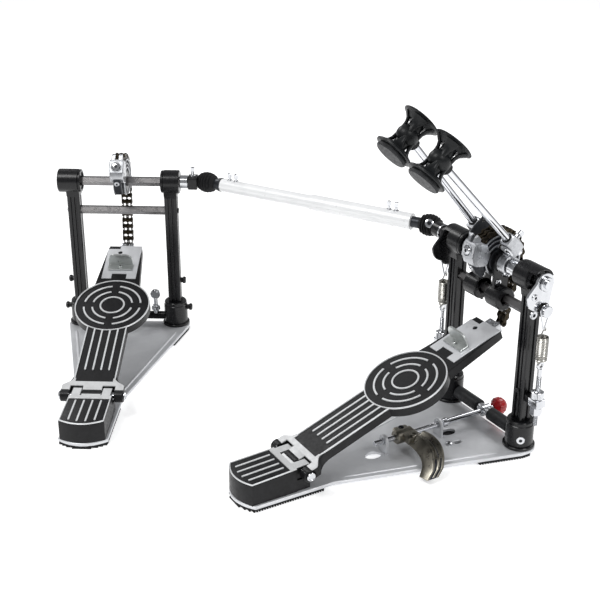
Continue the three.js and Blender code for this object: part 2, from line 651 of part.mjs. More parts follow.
function buildSlave(assembly) {
  const { x, y, turn } = SLAVE_PLACE;
  const slave = groupAt(assembly, x, y, 0);
  slave.rotation.z = radians(turn);
  addBase(slave, "slave", false);
  addPedal(slave, "slave", SLAVE_BOARD_ANGLE, SLAVE_CAM_PHASE);
  const joinedFoot = (side) => {
    const x = (side * POST_SPACING) / 2;
    const hole = round("x", -60, 60, 5 + GAP, [0, SLAVE_SPREADER_HEIGHT], 14);
    const neck = slab(postSection(x), SOCKET_TOP - 1, SOCKET_TOP + 1);
    return join(cut(socketBody(side), hole.intersect(block([-50, -9, 0], [50, 9, 40]))), neck);
  };
  addPost(slave, "slave", -1, { inner: BEARING_INNER, outer: 76.5 }, joinedFoot(-1));
  addPost(slave, "slave", 1, { inner: BEARING_INNER, outer: 71 }, joinedFoot(1));
  piece(slave, "slave_spreader", "black",
    round("x", -49, 49, 5, [0, SLAVE_SPREADER_HEIGHT], 14));
  const atAxle = [0, AXLE_HEIGHT];
  piece(slave, "slave_axle", "silver", join(
    hexBar(-70, SLAVE_JOINT_X - BOOT_RADIUS - 0.6, AXLE_FLATS, atAxle),
    round("x", 71.6, SLAVE_JOINT_X - BOOT_RADIUS - 0.5, 8.2, atAxle),
  ));
}

// ---------------------------------------------------------------- linkage

// In the shaft's own frame +X runs from the slave's universal joint to the main pedal's.
function buildLinkage(assembly) {
  const turn = radians(SLAVE_PLACE.turn);
  const slaveEnd = new THREE.Vector2(
    SLAVE_PLACE.x + SLAVE_JOINT_X * Math.cos(turn),
    SLAVE_PLACE.y + SLAVE_JOINT_X * Math.sin(turn),
  );
  const reach = new THREE.Vector2(MAIN_JOINT_X, 0).sub(slaveEnd);
  const shaft = groupAt(assembly, slaveEnd.x, slaveEnd.y, AXLE_HEIGHT);
  shaft.rotation.z = reach.angle();
  const length = reach.length();
  const innerRadius = 8;
  const outerRadius = 9.3;
  const stubRadius = 5.5;
  const start = BOOT_RADIUS + 0.5;
  const mouth = length - 150;
  const overlap = 64;
  piece(shaft, "link_inner_tube", "chrome", join(
    round("x", start, start + 8, stubRadius),
    round("x", start + 7, mouth + overlap, innerRadius),
  ));
  const outer = join(
    round("x", mouth, length - start - 10, outerRadius),
    round("x", length - start - 11, length - start, stubRadius),
  );
  const bore = round("x", mouth - 5, length - start - 20, innerRadius + 0.4);
  piece(shaft, "link_outer_tube", "chrome", cut(outer, bore));
  const boot = () => turned([
    [0, -10], [6, -10], [8.5, -8], [BOOT_RADIUS - 0.8, -4], [BOOT_RADIUS - 0.8, 4],
    [8.5, 8], [6, 10], [0, 10],
  ]).rotate([0, 90, 0]);
  piece(shaft, "link_left_boot", "rubber", boot());
  piece(shaft, "link_right_boot", "rubber", boot()).position.x = length;
}

// ---------------------------------------------------------------- assembly

const assembly = new THREE.Group();
buildMain(assembly);
buildSlave(assembly);
buildLinkage(assembly);

// the origin is at the middle of the assembly's underside
assembly.updateMatrixWorld(true);
const extent = new THREE.Box3().setFromObject(assembly, true);
const centre = extent.getCenter(new THREE.Vector3());
assembly.position.set(-centre.x, -centre.y, -extent.min.z);

export default assembly;
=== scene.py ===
"""A double bass drum pedal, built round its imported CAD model.

Every piece is made in millimetres in the frame of the group it belongs to, as in the CAD source:
each pedal's origin is on the floor midway between its posts, +X to the player's right, +Y to the
drum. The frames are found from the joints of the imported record.
"""

import json
import math

import bmesh
import bpy
from mathutils import Matrix, Vector
from mathutils.geometry import tessellate_polygon


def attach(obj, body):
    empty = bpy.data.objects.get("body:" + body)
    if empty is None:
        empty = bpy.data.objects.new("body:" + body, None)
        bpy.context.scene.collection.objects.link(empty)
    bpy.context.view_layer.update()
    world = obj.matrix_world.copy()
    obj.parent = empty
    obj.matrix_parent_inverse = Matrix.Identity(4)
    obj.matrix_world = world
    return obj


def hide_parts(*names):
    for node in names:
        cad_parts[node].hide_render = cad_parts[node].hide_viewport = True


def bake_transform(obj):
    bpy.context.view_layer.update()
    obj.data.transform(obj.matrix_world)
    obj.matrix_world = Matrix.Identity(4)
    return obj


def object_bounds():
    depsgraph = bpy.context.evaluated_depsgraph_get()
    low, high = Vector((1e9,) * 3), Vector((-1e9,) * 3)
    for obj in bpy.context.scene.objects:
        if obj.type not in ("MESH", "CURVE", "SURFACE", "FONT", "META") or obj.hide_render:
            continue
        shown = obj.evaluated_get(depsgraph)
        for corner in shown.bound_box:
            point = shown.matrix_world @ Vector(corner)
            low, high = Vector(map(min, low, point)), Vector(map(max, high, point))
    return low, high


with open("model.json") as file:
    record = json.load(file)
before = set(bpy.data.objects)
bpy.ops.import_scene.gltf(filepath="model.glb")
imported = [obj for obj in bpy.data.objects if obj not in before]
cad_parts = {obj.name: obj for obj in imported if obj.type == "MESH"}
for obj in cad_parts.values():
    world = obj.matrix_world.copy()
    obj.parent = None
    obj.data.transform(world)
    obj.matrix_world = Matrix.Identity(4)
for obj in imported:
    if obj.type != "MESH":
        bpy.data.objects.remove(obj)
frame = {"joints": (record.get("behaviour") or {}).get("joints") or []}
cad_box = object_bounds()
JOINTS = {joint["name"]: joint for joint in frame["joints"]}

# ------------------------------------------------------------------ dimensions, millimetres

MM = 0.001
GAP = 0.3  # clearance between touching pieces
AXLE_HEIGHT = 195
AXLE_FLATS = 10
BORE_FLATS = AXLE_FLATS + 0.6
POST_X = 59.5
POST_WIDTH = 15.5
POST_DEPTH = 14
CROSSBAR_HEIGHT = 158
CROSSBAR_FLATS = 9.2
HOUSING_RADIUS = 14.3
MAIN_HOUSING = (43, 64)  # the bearing housing's ends along the axle
MAIN_HOOD_END = 74
SLAVE_HOUSING_INNER = 48.6
SLAVE_HOUSING_OUTER = {-1: 76.5, 1: 71}  # left and right
SOCKET_TOP = 38.5
SOCKET_RADIUS = 14.6
SPREADER_HEIGHT = 20
SLAVE_SPREADER_HEIGHT = 17

PAD_THICKNESS = 3
PLATE_TOP = 7
PLATE_HEEL_END = 305  # behind the axle
PLATE_HEEL_HALF_WIDTH = 26.5
PLATE_TAPER_START = -205
PLATE_CORNER_RADIUS = 17
HEEL_REAR_TOP = 30
HEEL_HALF_WIDTH = 24.2
HINGE_BEHIND_AXLE = 236.7
HINGE_HEIGHT = 27.7
HINGE_HALF_WIDTH = 34.3
HINGE_PIN_RADIUS = 2.5
KNUCKLE_RADIUS = 6.8
BOARD_TOP = 6  # above the hinge axis, square to the board
BOARD_BOTTOM = -6
GROUND = 4.9  # the black ground between the board's raised silver lines
LINE_HALF_WIDTH = 0.95
STEM_HALF_WIDTH = 23.2
DISC_RADIUS = 44
DISC_CENTRE = 142.4  # along the board from the hinge
DISC_RIM = 43  # where the board's lines meet the disc
TOE_END = 253
TOE_HALF_WIDTH = 21
TOE_PIN = (268, -4)  # along and up, where the chain meets the board
TOE_HOLE = (-5, 239)
FINGER_INNER, FINGER_OUTER = 11.5, 21.5  # the heel plate's two hinge fingers
SLOT_X, SLOT_END = FINGER_OUTER + 3.2, 9.5
TONGUE_X = FINGER_INNER - 1
MAIN_BOARD_ANGLE = 20.76
SLAVE_BOARD_ANGLE = 17.66

CHAIN_RADIUS = 31  # pitch radius on the cam
CHAIN_PITCH = 8
CHAIN_ROW = 2.85  # from the chain's middle to each row of rollers
UNWRAP_ANGLE = 49  # chain that leaves the cam in a full stroke, degrees
LEAD_LINKS = 3
WRAP_START, WRAP_END = -16, 143
CAM_SEAT = 27.2
CAM_HALF_WIDTH = 7.4
SLAVE_CAM_PHASE = -20

ROD_OFFSET = 17  # the rod passes the axle at this distance, on the drum side
ROD_RADIUS = 4
# each beater's place along the axle, its lean from upright and its head's place up the rod
BEATERS = {"right": (20.6, 43.5, 152), "left": (-36, 40.5, 158)}

SPRING_X = 81
SPRING_ARM = 27.4
SPRING_EYE_HEIGHT = 108
COIL_BOTTOM = 113.5
COIL_TOP = 141
COIL_RADIUS = 6.3
COIL_WIRE = 0.75
CLAMP_ROD_X = 3
CLAMP_LUGS = (-131, -62)
SLAVE_JOINT_X = 105
JOINT_REACH = 12.5  # from the middle of a universal joint to the end of its boot
TUBE_BOLTS = (20, 29)


# ------------------------------------------------------------------ frames


def frame_at(place, turn=0.0):
    """A millimetre frame at a place in metres, turned about the vertical."""
    return Matrix.Translation(place) @ Matrix.Rotation(turn, 4, "Z") @ Matrix.Scale(MM, 4)


def shift(x=0.0, y=0.0, z=0.0):
    return Matrix.Translation((x, y, z))


def tilt(degrees, axis="X"):
    return Matrix.Rotation(math.radians(degrees), 4, axis)


def aim(direction, at=(0, 0, 0)):
    """Turns a piece made along +Z to point along a direction from a point."""
    return Matrix.Translation(at) @ Vector(direction).to_track_quat("Z", "Y").to_matrix().to_4x4()


def label_of(side):
    return "left" if side < 0 else "right"


def stretch_of(side, near, far):
    """The lower and the upper x of a stretch on one side of the middle."""
    return sorted((side * near, side * far))


def on_floor(joint):
    x, y, _ = JOINTS[joint]["pos_m"]
    return Vector((x, y, 0))


def heading(joint):
    x, y, _ = JOINTS[joint]["axis"]
    return math.atan2(y, x)


MAIN = frame_at(on_floor("main_axle_turn"))
SLAVE = frame_at(on_floor("slave_axle_turn"), heading("slave_axle_turn"))
SHAFT = frame_at(Vector(JOINTS["shaft_inner_turn"]["pos_m"]), heading("shaft_inner_turn"))
SHAFT_LENGTH = (Vector(JOINTS["shaft_outer_turn"]["pos_m"])
                - Vector(JOINTS["shaft_inner_turn"]["pos_m"])).length / MM
MAIN_JOINT_X = (Vector(JOINTS["shaft_outer_turn"]["pos_m"]).x
                - JOINTS["main_axle_turn"]["pos_m"][0]) / MM


# ------------------------------------------------------------------ materials


def node(tree, kind, **inputs):
    made = tree.nodes.new(kind)
    for name, value in inputs.items():
        made.inputs[name.replace("_", " ")].default_value = value
    return made


def finish_of(name, colour, metallic, roughness, spread, blotch, grain, depth,
              other=None, stretch=(1, 1, 1), coat=0.0, specular=0.5):
    """A procedural finish: blotches tint it, and a fine grain moves its roughness and height."""
    material = bpy.data.materials.new(name)
    material.use_nodes = True
    tree = material.node_tree
    shader = tree.nodes["Principled BSDF"]
    shader.inputs["Metallic"].default_value = metallic
    shader.inputs["Specular IOR Level"].default_value = specular
    shader.inputs["Coat Weight"].default_value = coat
    shader.inputs["Coat Roughness"].default_value = 0.12
    place = tree.nodes.new("ShaderNodeTexCoord")
    mapping = node(tree, "ShaderNodeMapping", Scale=stretch)
    tree.links.new(place.outputs["Object"], mapping.inputs["Vector"])

    def noise(scale, detail):
        made = node(tree, "ShaderNodeTexNoise", Scale=scale, Detail=detail, Roughness=0.6)
        tree.links.new(mapping.outputs["Vector"], made.inputs["Vector"])
        return made.outputs["Fac"]

    ramp = tree.nodes.new("ShaderNodeValToRGB")
    light = other or tuple(min(1, channel * (1 + spread)) for channel in colour)
    dark = tuple(channel * (1 - spread) for channel in colour)
    ramp.color_ramp.elements[0].position = 0.35
    ramp.color_ramp.elements[0].color = (*dark, 1)
    ramp.color_ramp.elements[1].position = 0.65
    ramp.color_ramp.elements[1].color = (*light, 1)
    tree.links.new(noise(blotch, 4), ramp.inputs["Fac"])
    tree.links.new(ramp.outputs["Color"], shader.inputs["Base Color"])

    span = tree.nodes.new("ShaderNodeMapRange")
    span.inputs["From Min"].default_value = 0.3
    span.inputs["From Max"].default_value = 0.7
    span.inputs["To Min"].default_value = roughness * 0.75
    span.inputs["To Max"].default_value = min(1, roughness * 1.25)
    tree.links.new(noise(blotch * 3, 5), span.inputs["Value"])
    tree.links.new(span.outputs["Result"], shader.inputs["Roughness"])
    bump = node(tree, "ShaderNodeBump", Strength=0.6, Distance=depth)
    tree.links.new(noise(grain, 3), bump.inputs["Height"])
    tree.links.new(bump.outputs["Normal"], shader.inputs["Normal"])
    return material


def black(name, colour, roughness, grain, depth, **more):
    """A black finish, with little gloss of its own."""
    return finish_of(name, colour, 0.0, roughness, 0.3, 120, grain, depth, specular=0.28, **more)


def steel(name, colour, roughness, spread, blotch, grain, depth, **more):
    return finish_of(name, colour, 1.0, roughness, spread, blotch, grain, depth, **more)


FINISH = {
    "plate": finish_of("plate_silver", (0.70, 0.71, 0.73), 0.45, 0.40, 0.06, 25, 2500, 0.00001),
    "rubber": black("rubber", (0.010, 0.010, 0.011), 0.75, 1200, 0.00004),
    "black": black("black_casting", (0.005, 0.005, 0.006), 0.30, 1600, 0.00002, coat=0.2),
    "board": black("board_black", (0.006, 0.006, 0.007), 0.42, 1300, 0.00004),
    "ridge": finish_of("board_ridge", (0.72, 0.73, 0.74), 0.35, 0.40, 0.05, 150, 900, 0.000008),
    "bare": finish_of("bare_casting", (0.64, 0.645, 0.65), 0.4, 0.5, 0.06, 90, 1500, 0.00002),
    "polished": steel("polished_steel", (0.62, 0.63, 0.65), 0.14, 0.06, 80, 500, 0.000004),
    "zinc": steel("zinc_steel", (0.56, 0.58, 0.57), 0.34, 0.06, 40, 1200, 0.000008),
    "cast": steel("cast_silver", (0.50, 0.51, 0.53), 0.32, 0.12, 120, 1100, 0.00002),
    "satin": steel("satin_steel", (0.30, 0.29, 0.29), 0.30, 0.05, 60, 800, 0.000004,
                   stretch=(0.2, 1, 1)),
    "chain": finish_of("chain_steel", (0.018, 0.015, 0.011), 0.8, 0.36, 0.4, 260, 900, 0.00002,
                       other=(0.055, 0.043, 0.026), specular=0.3),
    "extrusion": black("black_extrusion", (0.004, 0.004, 0.005), 0.27, 1500, 0.00001,
                       stretch=(1, 1, 0.15), coat=0.25),
    "spring": steel("spring_steel", (0.46, 0.45, 0.42), 0.26, 0.08, 200, 700, 0.000005),
    "chrome": steel("chrome", (0.74, 0.75, 0.78), 0.06, 0.04, 40, 300, 0.000003),
    # the tubes are near-white and barely metallic: painted reflection of the bright studio in
    # place of chrome
    "tube": finish_of("tube_painted_reflection", (0.88, 0.885, 0.89), 0.12, 0.34, 0.03, 40, 600, 0.000005),
    "plastic": black("beater_plastic", (0.008, 0.009, 0.010), 0.38, 1400, 0.00003),
    # dark: a dark anodised finish on some fittings, and also painted shade: in screw sockets, on
    # the cam's recessed body, round the cam clamp's screw and in the lever's channels
    "dark": finish_of("dark_anodised_and_painted_shade", (0.035, 0.037, 0.042), 0.6, 0.33, 0.12, 120, 1200,
                      0.00001, specular=0.3),
    "red": finish_of("red_plastic", (0.42, 0.006, 0.010), 0.0, 0.30, 0.12, 90, 800, 0.00001,
                     coat=0.3, specular=0.4),
    "nickel": steel("nickel_casting", (0.24, 0.225, 0.19), 0.33, 0.10, 60, 900, 0.00001),
    "skirt": black("pad_face", (0.020, 0.021, 0.023), 0.5, 1500, 0.00003),
}


# ------------------------------------------------------------------ meshes, millimetres

TO_AXIS = {
    "z": Matrix.Identity(4),
    "x": Matrix(((0, 0, 1, 0), (1, 0, 0, 0), (0, 1, 0, 0), (0, 0, 0, 1))),
    "y": Matrix(((1, 0, 0, 0), (0, 0, 1, 0), (0, 1, 0, 0), (0, 0, 0, 1))),
}


def arc(radius, start, end, centre=(0, 0), steps=16):
    """Points of an arc, angles in degrees."""
    turns = [math.radians(start + (end - start) * i / steps) for i in range(steps + 1)]
    return [(centre[0] + radius * math.cos(t), centre[1] + radius * math.sin(t)) for t in turns]


def circle(radius, centre=(0, 0), steps=32):
    return arc(radius, 0, 360, centre, steps)[:-1]


def bend(a, b, c, steps=10):
    """Points of a quadratic curve from a to c, drawn towards b."""
    points = []
    for i in range(steps + 1):
        t = i / steps
        points.append(tuple(p * (1 - t) ** 2 + 2 * q * t * (1 - t) + r * t * t
                            for p, q, r in zip(a, b, c)))
    return points


def rectangle(left, right, back, front):
    return [(left, back), (right, back), (right, front), (left, front)]


def stadium(left, right, back, front, radius, steps=5):
    """A rectangle with round corners."""
    corners = [(right, front, 0), (left, front, 90), (left, back, 180), (right, back, 270)]
    points = []
    for x, y, start in corners:
        centre = (x - math.copysign(radius, x - (left + right) / 2),
                  y - math.copysign(radius, y - (back + front) / 2))
        points += arc(radius, start, start + 90, centre, steps)
    return points


def signed_area(loop):
    return sum(a[0] * b[1] - b[0] * a[1] for a, b in zip(loop, loop[1:] + loop[:1])) / 2


def inset(loop, distance):
    """A closed loop moved to its left by a distance, which is inwards if it runs anticlockwise."""
    points = []
    for before, here, after in zip(loop[-1:] + loop[:-1], loop, loop[1:] + loop[:1]):
        to_here = (Vector(here) - Vector(before)).normalized()
        to_after = (Vector(after) - Vector(here)).normalized()
        sides = [Vector((-d.y, d.x)) for d in (to_here, to_after)]
        reach = distance / max(1 + sides[0].dot(sides[1]), 0.4)
        points.append(tuple(Vector(here) + (sides[0] + sides[1]) * reach))
    return points


def clean(loop):
    """The loop with no point repeated."""
    return [p for i, p in enumerate(loop) if (Vector(p) - Vector(loop[i - 1])).length > 1e-3]


def settle(mesh, place=None):
    bmesh.ops.remove_doubles(mesh, verts=mesh.verts, dist=1e-4)
    bmesh.ops.recalc_face_normals(mesh, faces=mesh.faces)
    if place is not None:
        bmesh.ops.transform(mesh, matrix=place, verts=mesh.verts)
        if place.determinant() < 0:
            bmesh.ops.reverse_faces(mesh, faces=mesh.faces)
    return mesh


def slab(loops, low, high, edge=0.4, axis="z", lower_edge=None):
    """A plate between two heights with chamfered edges; the first loop is its outline."""
    mesh = bmesh.new()
    lower_edge = edge if lower_edge is None else lower_edge
    levels = [(lower_edge, low), (0, low + lower_edge), (0, high - edge), (edge, high)]
    levels = [level for i, level in enumerate(levels) if i == 0 or level != levels[i - 1]]
    caps = [[], []]
    for number, loop in enumerate(clean(loop) for loop in loops):
        if (signed_area(loop) > 0) != (number == 0):
            loop = loop[::-1]
        rings = []
        for distance, height in levels:
            flat = inset(loop, distance) if distance else loop
            rings.append([mesh.verts.new((x, y, height)) for x, y in flat])
        for lower, upper in zip(rings, rings[1:]):
            for i in range(len(loop)):
                mesh.faces.new((lower[i - 1], lower[i], upper[i], upper[i - 1]))
        caps[0].append(rings[0])
        caps[1].append(rings[-1])
    for rings in caps:
        flat = [vert for ring in rings for vert in ring]
        for triangle in tessellate_polygon([[vert.co for vert in ring] for ring in rings]):
            mesh.faces.new([flat[i] for i in triangle])
    return settle(mesh, TO_AXIS[axis])


def loft(rings):
    """A closed body through rings of 3-D points, capped at both ends."""
    mesh = bmesh.new()
    made = [[mesh.verts.new(point) for point in ring] for ring in rings]
    for lower, upper in zip(made, made[1:]):
        for i in range(len(lower)):
            mesh.faces.new((lower[i - 1], lower[i], upper[i], upper[i - 1]))
    mesh.faces.new(made[0][::-1])
    mesh.faces.new(made[-1])
    return settle(mesh)


def turned(profile, axis="z", at=(0, 0, 0), sides=32):
    """A turned body; the profile is a list of (radius, height)."""
    mesh = bmesh.new()
    rings = []
    for radius, height in profile:
        if radius < 1e-6:
            rings.append([mesh.verts.new((0, 0, height))])
        else:
            rings.append([mesh.verts.new((x, y, height)) for x, y in circle(radius, steps=sides)])
    for lower, upper in zip(rings, rings[1:]):
        if len(lower) == 1 and len(upper) == 1:
            continue
        for i in range(sides):
            corners = [lower[i % len(lower)], lower[(i + 1) % len(lower)],
                       upper[(i + 1) % len(upper)], upper[i % len(upper)]]
            mesh.faces.new(list(dict.fromkeys(corners)))
    if profile[0] != profile[-1]:
        for ring in (rings[0], rings[-1]):
            if len(ring) > 1:
                mesh.faces.new(ring)
    return settle(mesh, Matrix.Translation(at) @ TO_AXIS[axis])


def rod(axis, low, high, radius, at=(0, 0, 0), edge=0.4, sides=32):
    return turned([(0, low), (radius - edge, low), (radius, low + edge), (radius, high - edge),
                   (radius - edge, high), (0, high)], axis, at, sides)


def ring_of(outer, inner, low, high, axis="z", at=(0, 0, 0), edge=0.4, sides=40):
    profile = [(inner, low), (outer - edge, low), (outer, low + edge), (outer, high - edge),
               (outer - edge, high), (inner, high), (inner, low)]
    return turned(profile, axis, at, sides)


def hexagon(flats, turn=0, centre=(0, 0)):
    corner = flats / 2 / math.cos(math.pi / 6)
    return arc(corner, turn, turn + 360, centre, 6)[:-1]


def box(low, high, edge=0.5):
    mesh = bmesh.new()
    bmesh.ops.create_cube(mesh, size=1)
    size = [b - a for a, b in zip(low, high)]
    middle = [(a + b) / 2 for a, b in zip(low, high)]
    bmesh.ops.scale(mesh, vec=size, verts=mesh.verts)
    bmesh.ops.translate(mesh, vec=middle, verts=mesh.verts)
    if edge:
        bmesh.ops.bevel(mesh, geom=mesh.edges[:], offset=edge, segments=2, affect="EDGES",
                        profile=0.5)
    return settle(mesh)


def sweep(points, radius, sides=10, cyclic=False):
    """A round tube along points; the radius is one number or one for each point."""
    points = [Vector(point) for point in points]
    radii = radius if isinstance(radius, (list, tuple)) else [radius] * len(points)
    mesh = bmesh.new()
    rings = []
    side = None
    for i, point in enumerate(points):
        ahead = points[(i + 1) % len(points)] if cyclic or i < len(points) - 1 else point
        behind = points[i - 1] if cyclic or i else point
        along = (ahead - behind).normalized()
        if side is None:
            side = along.orthogonal().normalized()
        side = (side - along * side.dot(along)).normalized()
        other = along.cross(side)
        rings.append([mesh.verts.new(point + (side * x + other * y) * radii[i])
                      for x, y in circle(1, steps=sides)])
    pairs = list(zip(rings, rings[1:])) + ([(rings[-1], rings[0])] if cyclic else [])
    for lower, upper in pairs:
        for i in range(sides):
            mesh.faces.new((lower[i - 1], lower[i], upper[i], upper[i - 1]))
    if not cyclic:
        mesh.faces.new(rings[0][::-1])
        mesh.faces.new(rings[-1])
    return settle(mesh)


class Piece:
    """A piece under construction, in millimetres in its own frame."""

    def __init__(self, name, place, body, slot, *nodes):
        self.name, self.place, self.body = name, place, body
        self.slot, self.nodes = slot, nodes
        self.mesh = bpy.data.meshes.new(name)
        self.whole = bmesh.new()
        self.finishes = []

    def add(self, mesh, finish, place=None):
        if place is not None:
            bmesh.ops.transform(mesh, matrix=place, verts=mesh.verts)
        if finish not in self.finishes:
            self.finishes.append(finish)
        for face in mesh.faces:
            face.material_index = self.finishes.index(finish)
            face.smooth = True
        part = bpy.data.meshes.new("part")
        mesh.to_mesh(part)
        mesh.free()
        self.whole.from_mesh(part)
        bpy.data.meshes.remove(part)

    def object(self):
        bmesh.ops.transform(self.whole, matrix=self.place, verts=self.whole.verts)
        self.whole.to_mesh(self.mesh)
        self.whole.free()
        self.mesh.set_sharp_from_angle(angle=math.radians(32))
        for finish in self.finishes:
            self.mesh.materials.append(FINISH[finish])
        made = bpy.data.objects.new(self.name, self.mesh)
        bpy.context.scene.collection.objects.link(made)
        if self.nodes:
            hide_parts(*self.nodes)
        return made

    def done(self):
        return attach(self.object(), self.body)


# ------------------------------------------------------------------ screws and nuts


def key_bolt(piece, place, reach=9.0, size=1.0, finish="polished"):
    """A drum-key bolt with a washer and a square head, standing along +Z of its place."""
    piece.add(ring_of(3.4 * size, 1.2, 0, 1, edge=0.25, sides=20), finish, place)
    piece.add(rod("z", 0, reach - 5, 1.9 * size, edge=0.2, sides=14), finish, place)
    head = stadium(-2.3 * size, 2.3 * size, -2.3 * size, 2.3 * size, 0.6, 2)
    piece.add(slab([head], reach - 5.5, reach, 0.5), finish, place)


def socket_screw(piece, place, radius=4.0, finish="polished", height=2.2):
    """A round-headed screw with a socket; the socket's floor is a dark hexagon, painted shade in
    the socket.
    """
    profile = [(radius - 0.2, 0), (radius, 0.5), (radius * 0.93, height * 0.75),
               (radius * 0.6, height), (radius * 0.42, height)]
    head = turned(profile + [(radius * 0.42, height - 1.1), (0, height - 1.1)], sides=24)
    piece.add(head, finish, place)
    # a dark hexagon at the socket's floor: painted shade in the socket
    piece.add(slab([hexagon(radius * 0.8)], height - 1.2, height - 0.9, 0.05), "dark", place)


def hex_nut(piece, flats, low, high):
    piece.add(slab([hexagon(flats)], low, high, 0.5), "polished")
    piece.add(rod("z", low - 0.15, high + 0.15, flats * 0.46, edge=0.3, sides=24), "polished")


def knurled(radius, low, high, teeth=26, depth=0.5):
    loop = []
    for i in range(teeth * 2):
        angle = math.pi * i / teeth
        reach = radius - (depth if i % 2 else 0)
        loop.append((reach * math.cos(angle), reach * math.sin(angle)))
    return slab([loop], low, high, 0.4)


# ------------------------------------------------------------------ floor, light and camera


def build_stage():
    floor = bpy.data.objects.new("floor", bpy.data.meshes.new("floor"))
    mesh = bmesh.new()
    bmesh.ops.create_circle(mesh, cap_ends=True, segments=64, radius=60)
    mesh.to_mesh(floor.data)
    mesh.free()
    material = bpy.data.materials.new("studio_floor")
    material.use_nodes = True
    tree = material.node_tree
    shader = tree.nodes["Principled BSDF"]
    shader.inputs["Roughness"].default_value = 0.8
    shader.inputs["Specular IOR Level"].default_value = 0.2
    shader.inputs["Emission Color"].default_value = (1, 1, 1, 1)
    shader.inputs["Emission Strength"].default_value = 0.45
    tint = tree.nodes.new("ShaderNodeValToRGB")
    tint.color_ramp.elements[0].color = (0.93, 0.93, 0.93, 1)
    tint.color_ramp.elements[1].color = (0.96, 0.96, 0.96, 1)
    mottle = node(tree, "ShaderNodeTexNoise", Scale=3.0)
    tree.links.new(mottle.outputs["Fac"], tint.inputs["Fac"])
    tree.links.new(tint.outputs["Color"], shader.inputs["Base Color"])
    floor.data.materials.append(material)
    bpy.context.scene.collection.objects.link(floor)

    world = bpy.data.worlds.new("studio")
    world.use_nodes = True
    sky = world.node_tree.nodes["Background"]
    sky.inputs["Color"].default_value = (0.97, 0.98, 1.0, 1)
    sky.inputs["Strength"].default_value = 0.30
    bpy.context.scene.world = world

    middle = (cad_box[0] + cad_box[1]) / 2
    lamps = [
        ("key", (0.2, -1.6, 2.4), 1.6, 42),
        ("left", (-2.2, -0.4, 1.6), 1.0, 16),
        ("right", (2.2, 0.6, 1.8), 0.8, 16),
        ("back", (-0.4, 2.2, 1.9), 1.4, 24),
    ]
    for name, offset, size, power in lamps:
        light = bpy.data.lights.new(name, "AREA")
        light.shape = "RECTANGLE"
        light.size = size
        light.size_y = size * 0.7
        light.energy = power
        lamp = bpy.data.objects.new(name, light)
        lamp.location = middle + Vector(offset)
        lamp.rotation_euler = (-Vector(offset)).to_track_quat("-Z", "Y").to_euler()
        bpy.context.scene.collection.objects.link(lamp)
    bpy.context.scene.view_settings.view_transform = "Standard"


def build_camera():
    data = bpy.data.cameras.new("camera")
    data.lens = 69.56
    camera = bpy.data.objects.new("camera", data)
    camera.location = MAIN.translation + Vector((0.8512, -0.7223, 0.6323))
    camera.rotation_mode = "QUATERNION"
    looking = Vector((-0.7917, 0.4585, -0.4037))
    roll = Matrix.Rotation(math.radians(0.16), 3, "Z").to_quaternion()
    camera.rotation_quaternion = looking.to_track_quat("-Z", "Y") @ roll
    bpy.context.scene.collection.objects.link(camera)
    bpy.context.scene.camera = camera


# ------------------------------------------------------------------ base plate and feet


def plate_outline():
    heel, heel_y = PLATE_HEEL_HALF_WIDTH, -PLATE_HEEL_END + 12
    loop = bend((-heel, heel_y), (0, -PLATE_HEEL_END - 9), (heel, heel_y), 16)
    corner = PLATE_CORNER_RADIUS
    loop += [(heel, PLATE_TAPER_START), (POST_X + corner, -8)]
    loop += arc(corner, 0, 100, (POST_X, 0), 12)
    loop += [(POST_X - 18, 3), (-POST_X + 18, 3)]
    loop += arc(corner, 80, 180, (-POST_X, 0), 12)
    loop += [(-POST_X - corner, -8), (-heel, PLATE_TAPER_START)]
    return clean(loop)


def span_at(loop, y):
    """The lowest and highest x of a closed loop at a height y."""
    found = []
    for (x0, y0), (x1, y1) in zip(loop, loop[1:] + loop[:1]):
        if (y0 - y) * (y1 - y) <= 0 and y0 != y1:
            found.append(x0 + (x1 - x0) * (y - y0) / (y1 - y0))
    return (min(found), max(found)) if found else None


def ribbed_pad(piece, back, front):
    """A rubber foot: a thin sheet with cross ribs that show as teeth along its edge."""
    outline = plate_outline()
    ys = [back + 0.5 * i for i in range(int((front - back) * 2) + 1)]
    spans = [(y, span_at(outline, y)) for y in ys]
    spans = [(y, span) for y, span in spans if span and span[1] - span[0] > 4]
    loop = [(span[0] + 0.8, y) for y, span in spans]
    loop += [(span[1] - 0.8, y) for y, span in reversed(spans)]
    piece.add(slab([loop], 1.3, PAD_THICKNESS, 0.1), "rubber")
    first, last = spans[0][0] + 1.2, spans[-1][0] - 1.2
    count = int((last - first) / 2.8)
    for i in range(count + 1):
        y = first + (last - first) * i / count
        span = span_at(outline, y)
        low, high = (span[0] + 0.6, y - 0.75, 0), (span[1] - 0.6, y + 0.75, 1.5)
        piece.add(box(low, high, 0), "rubber")


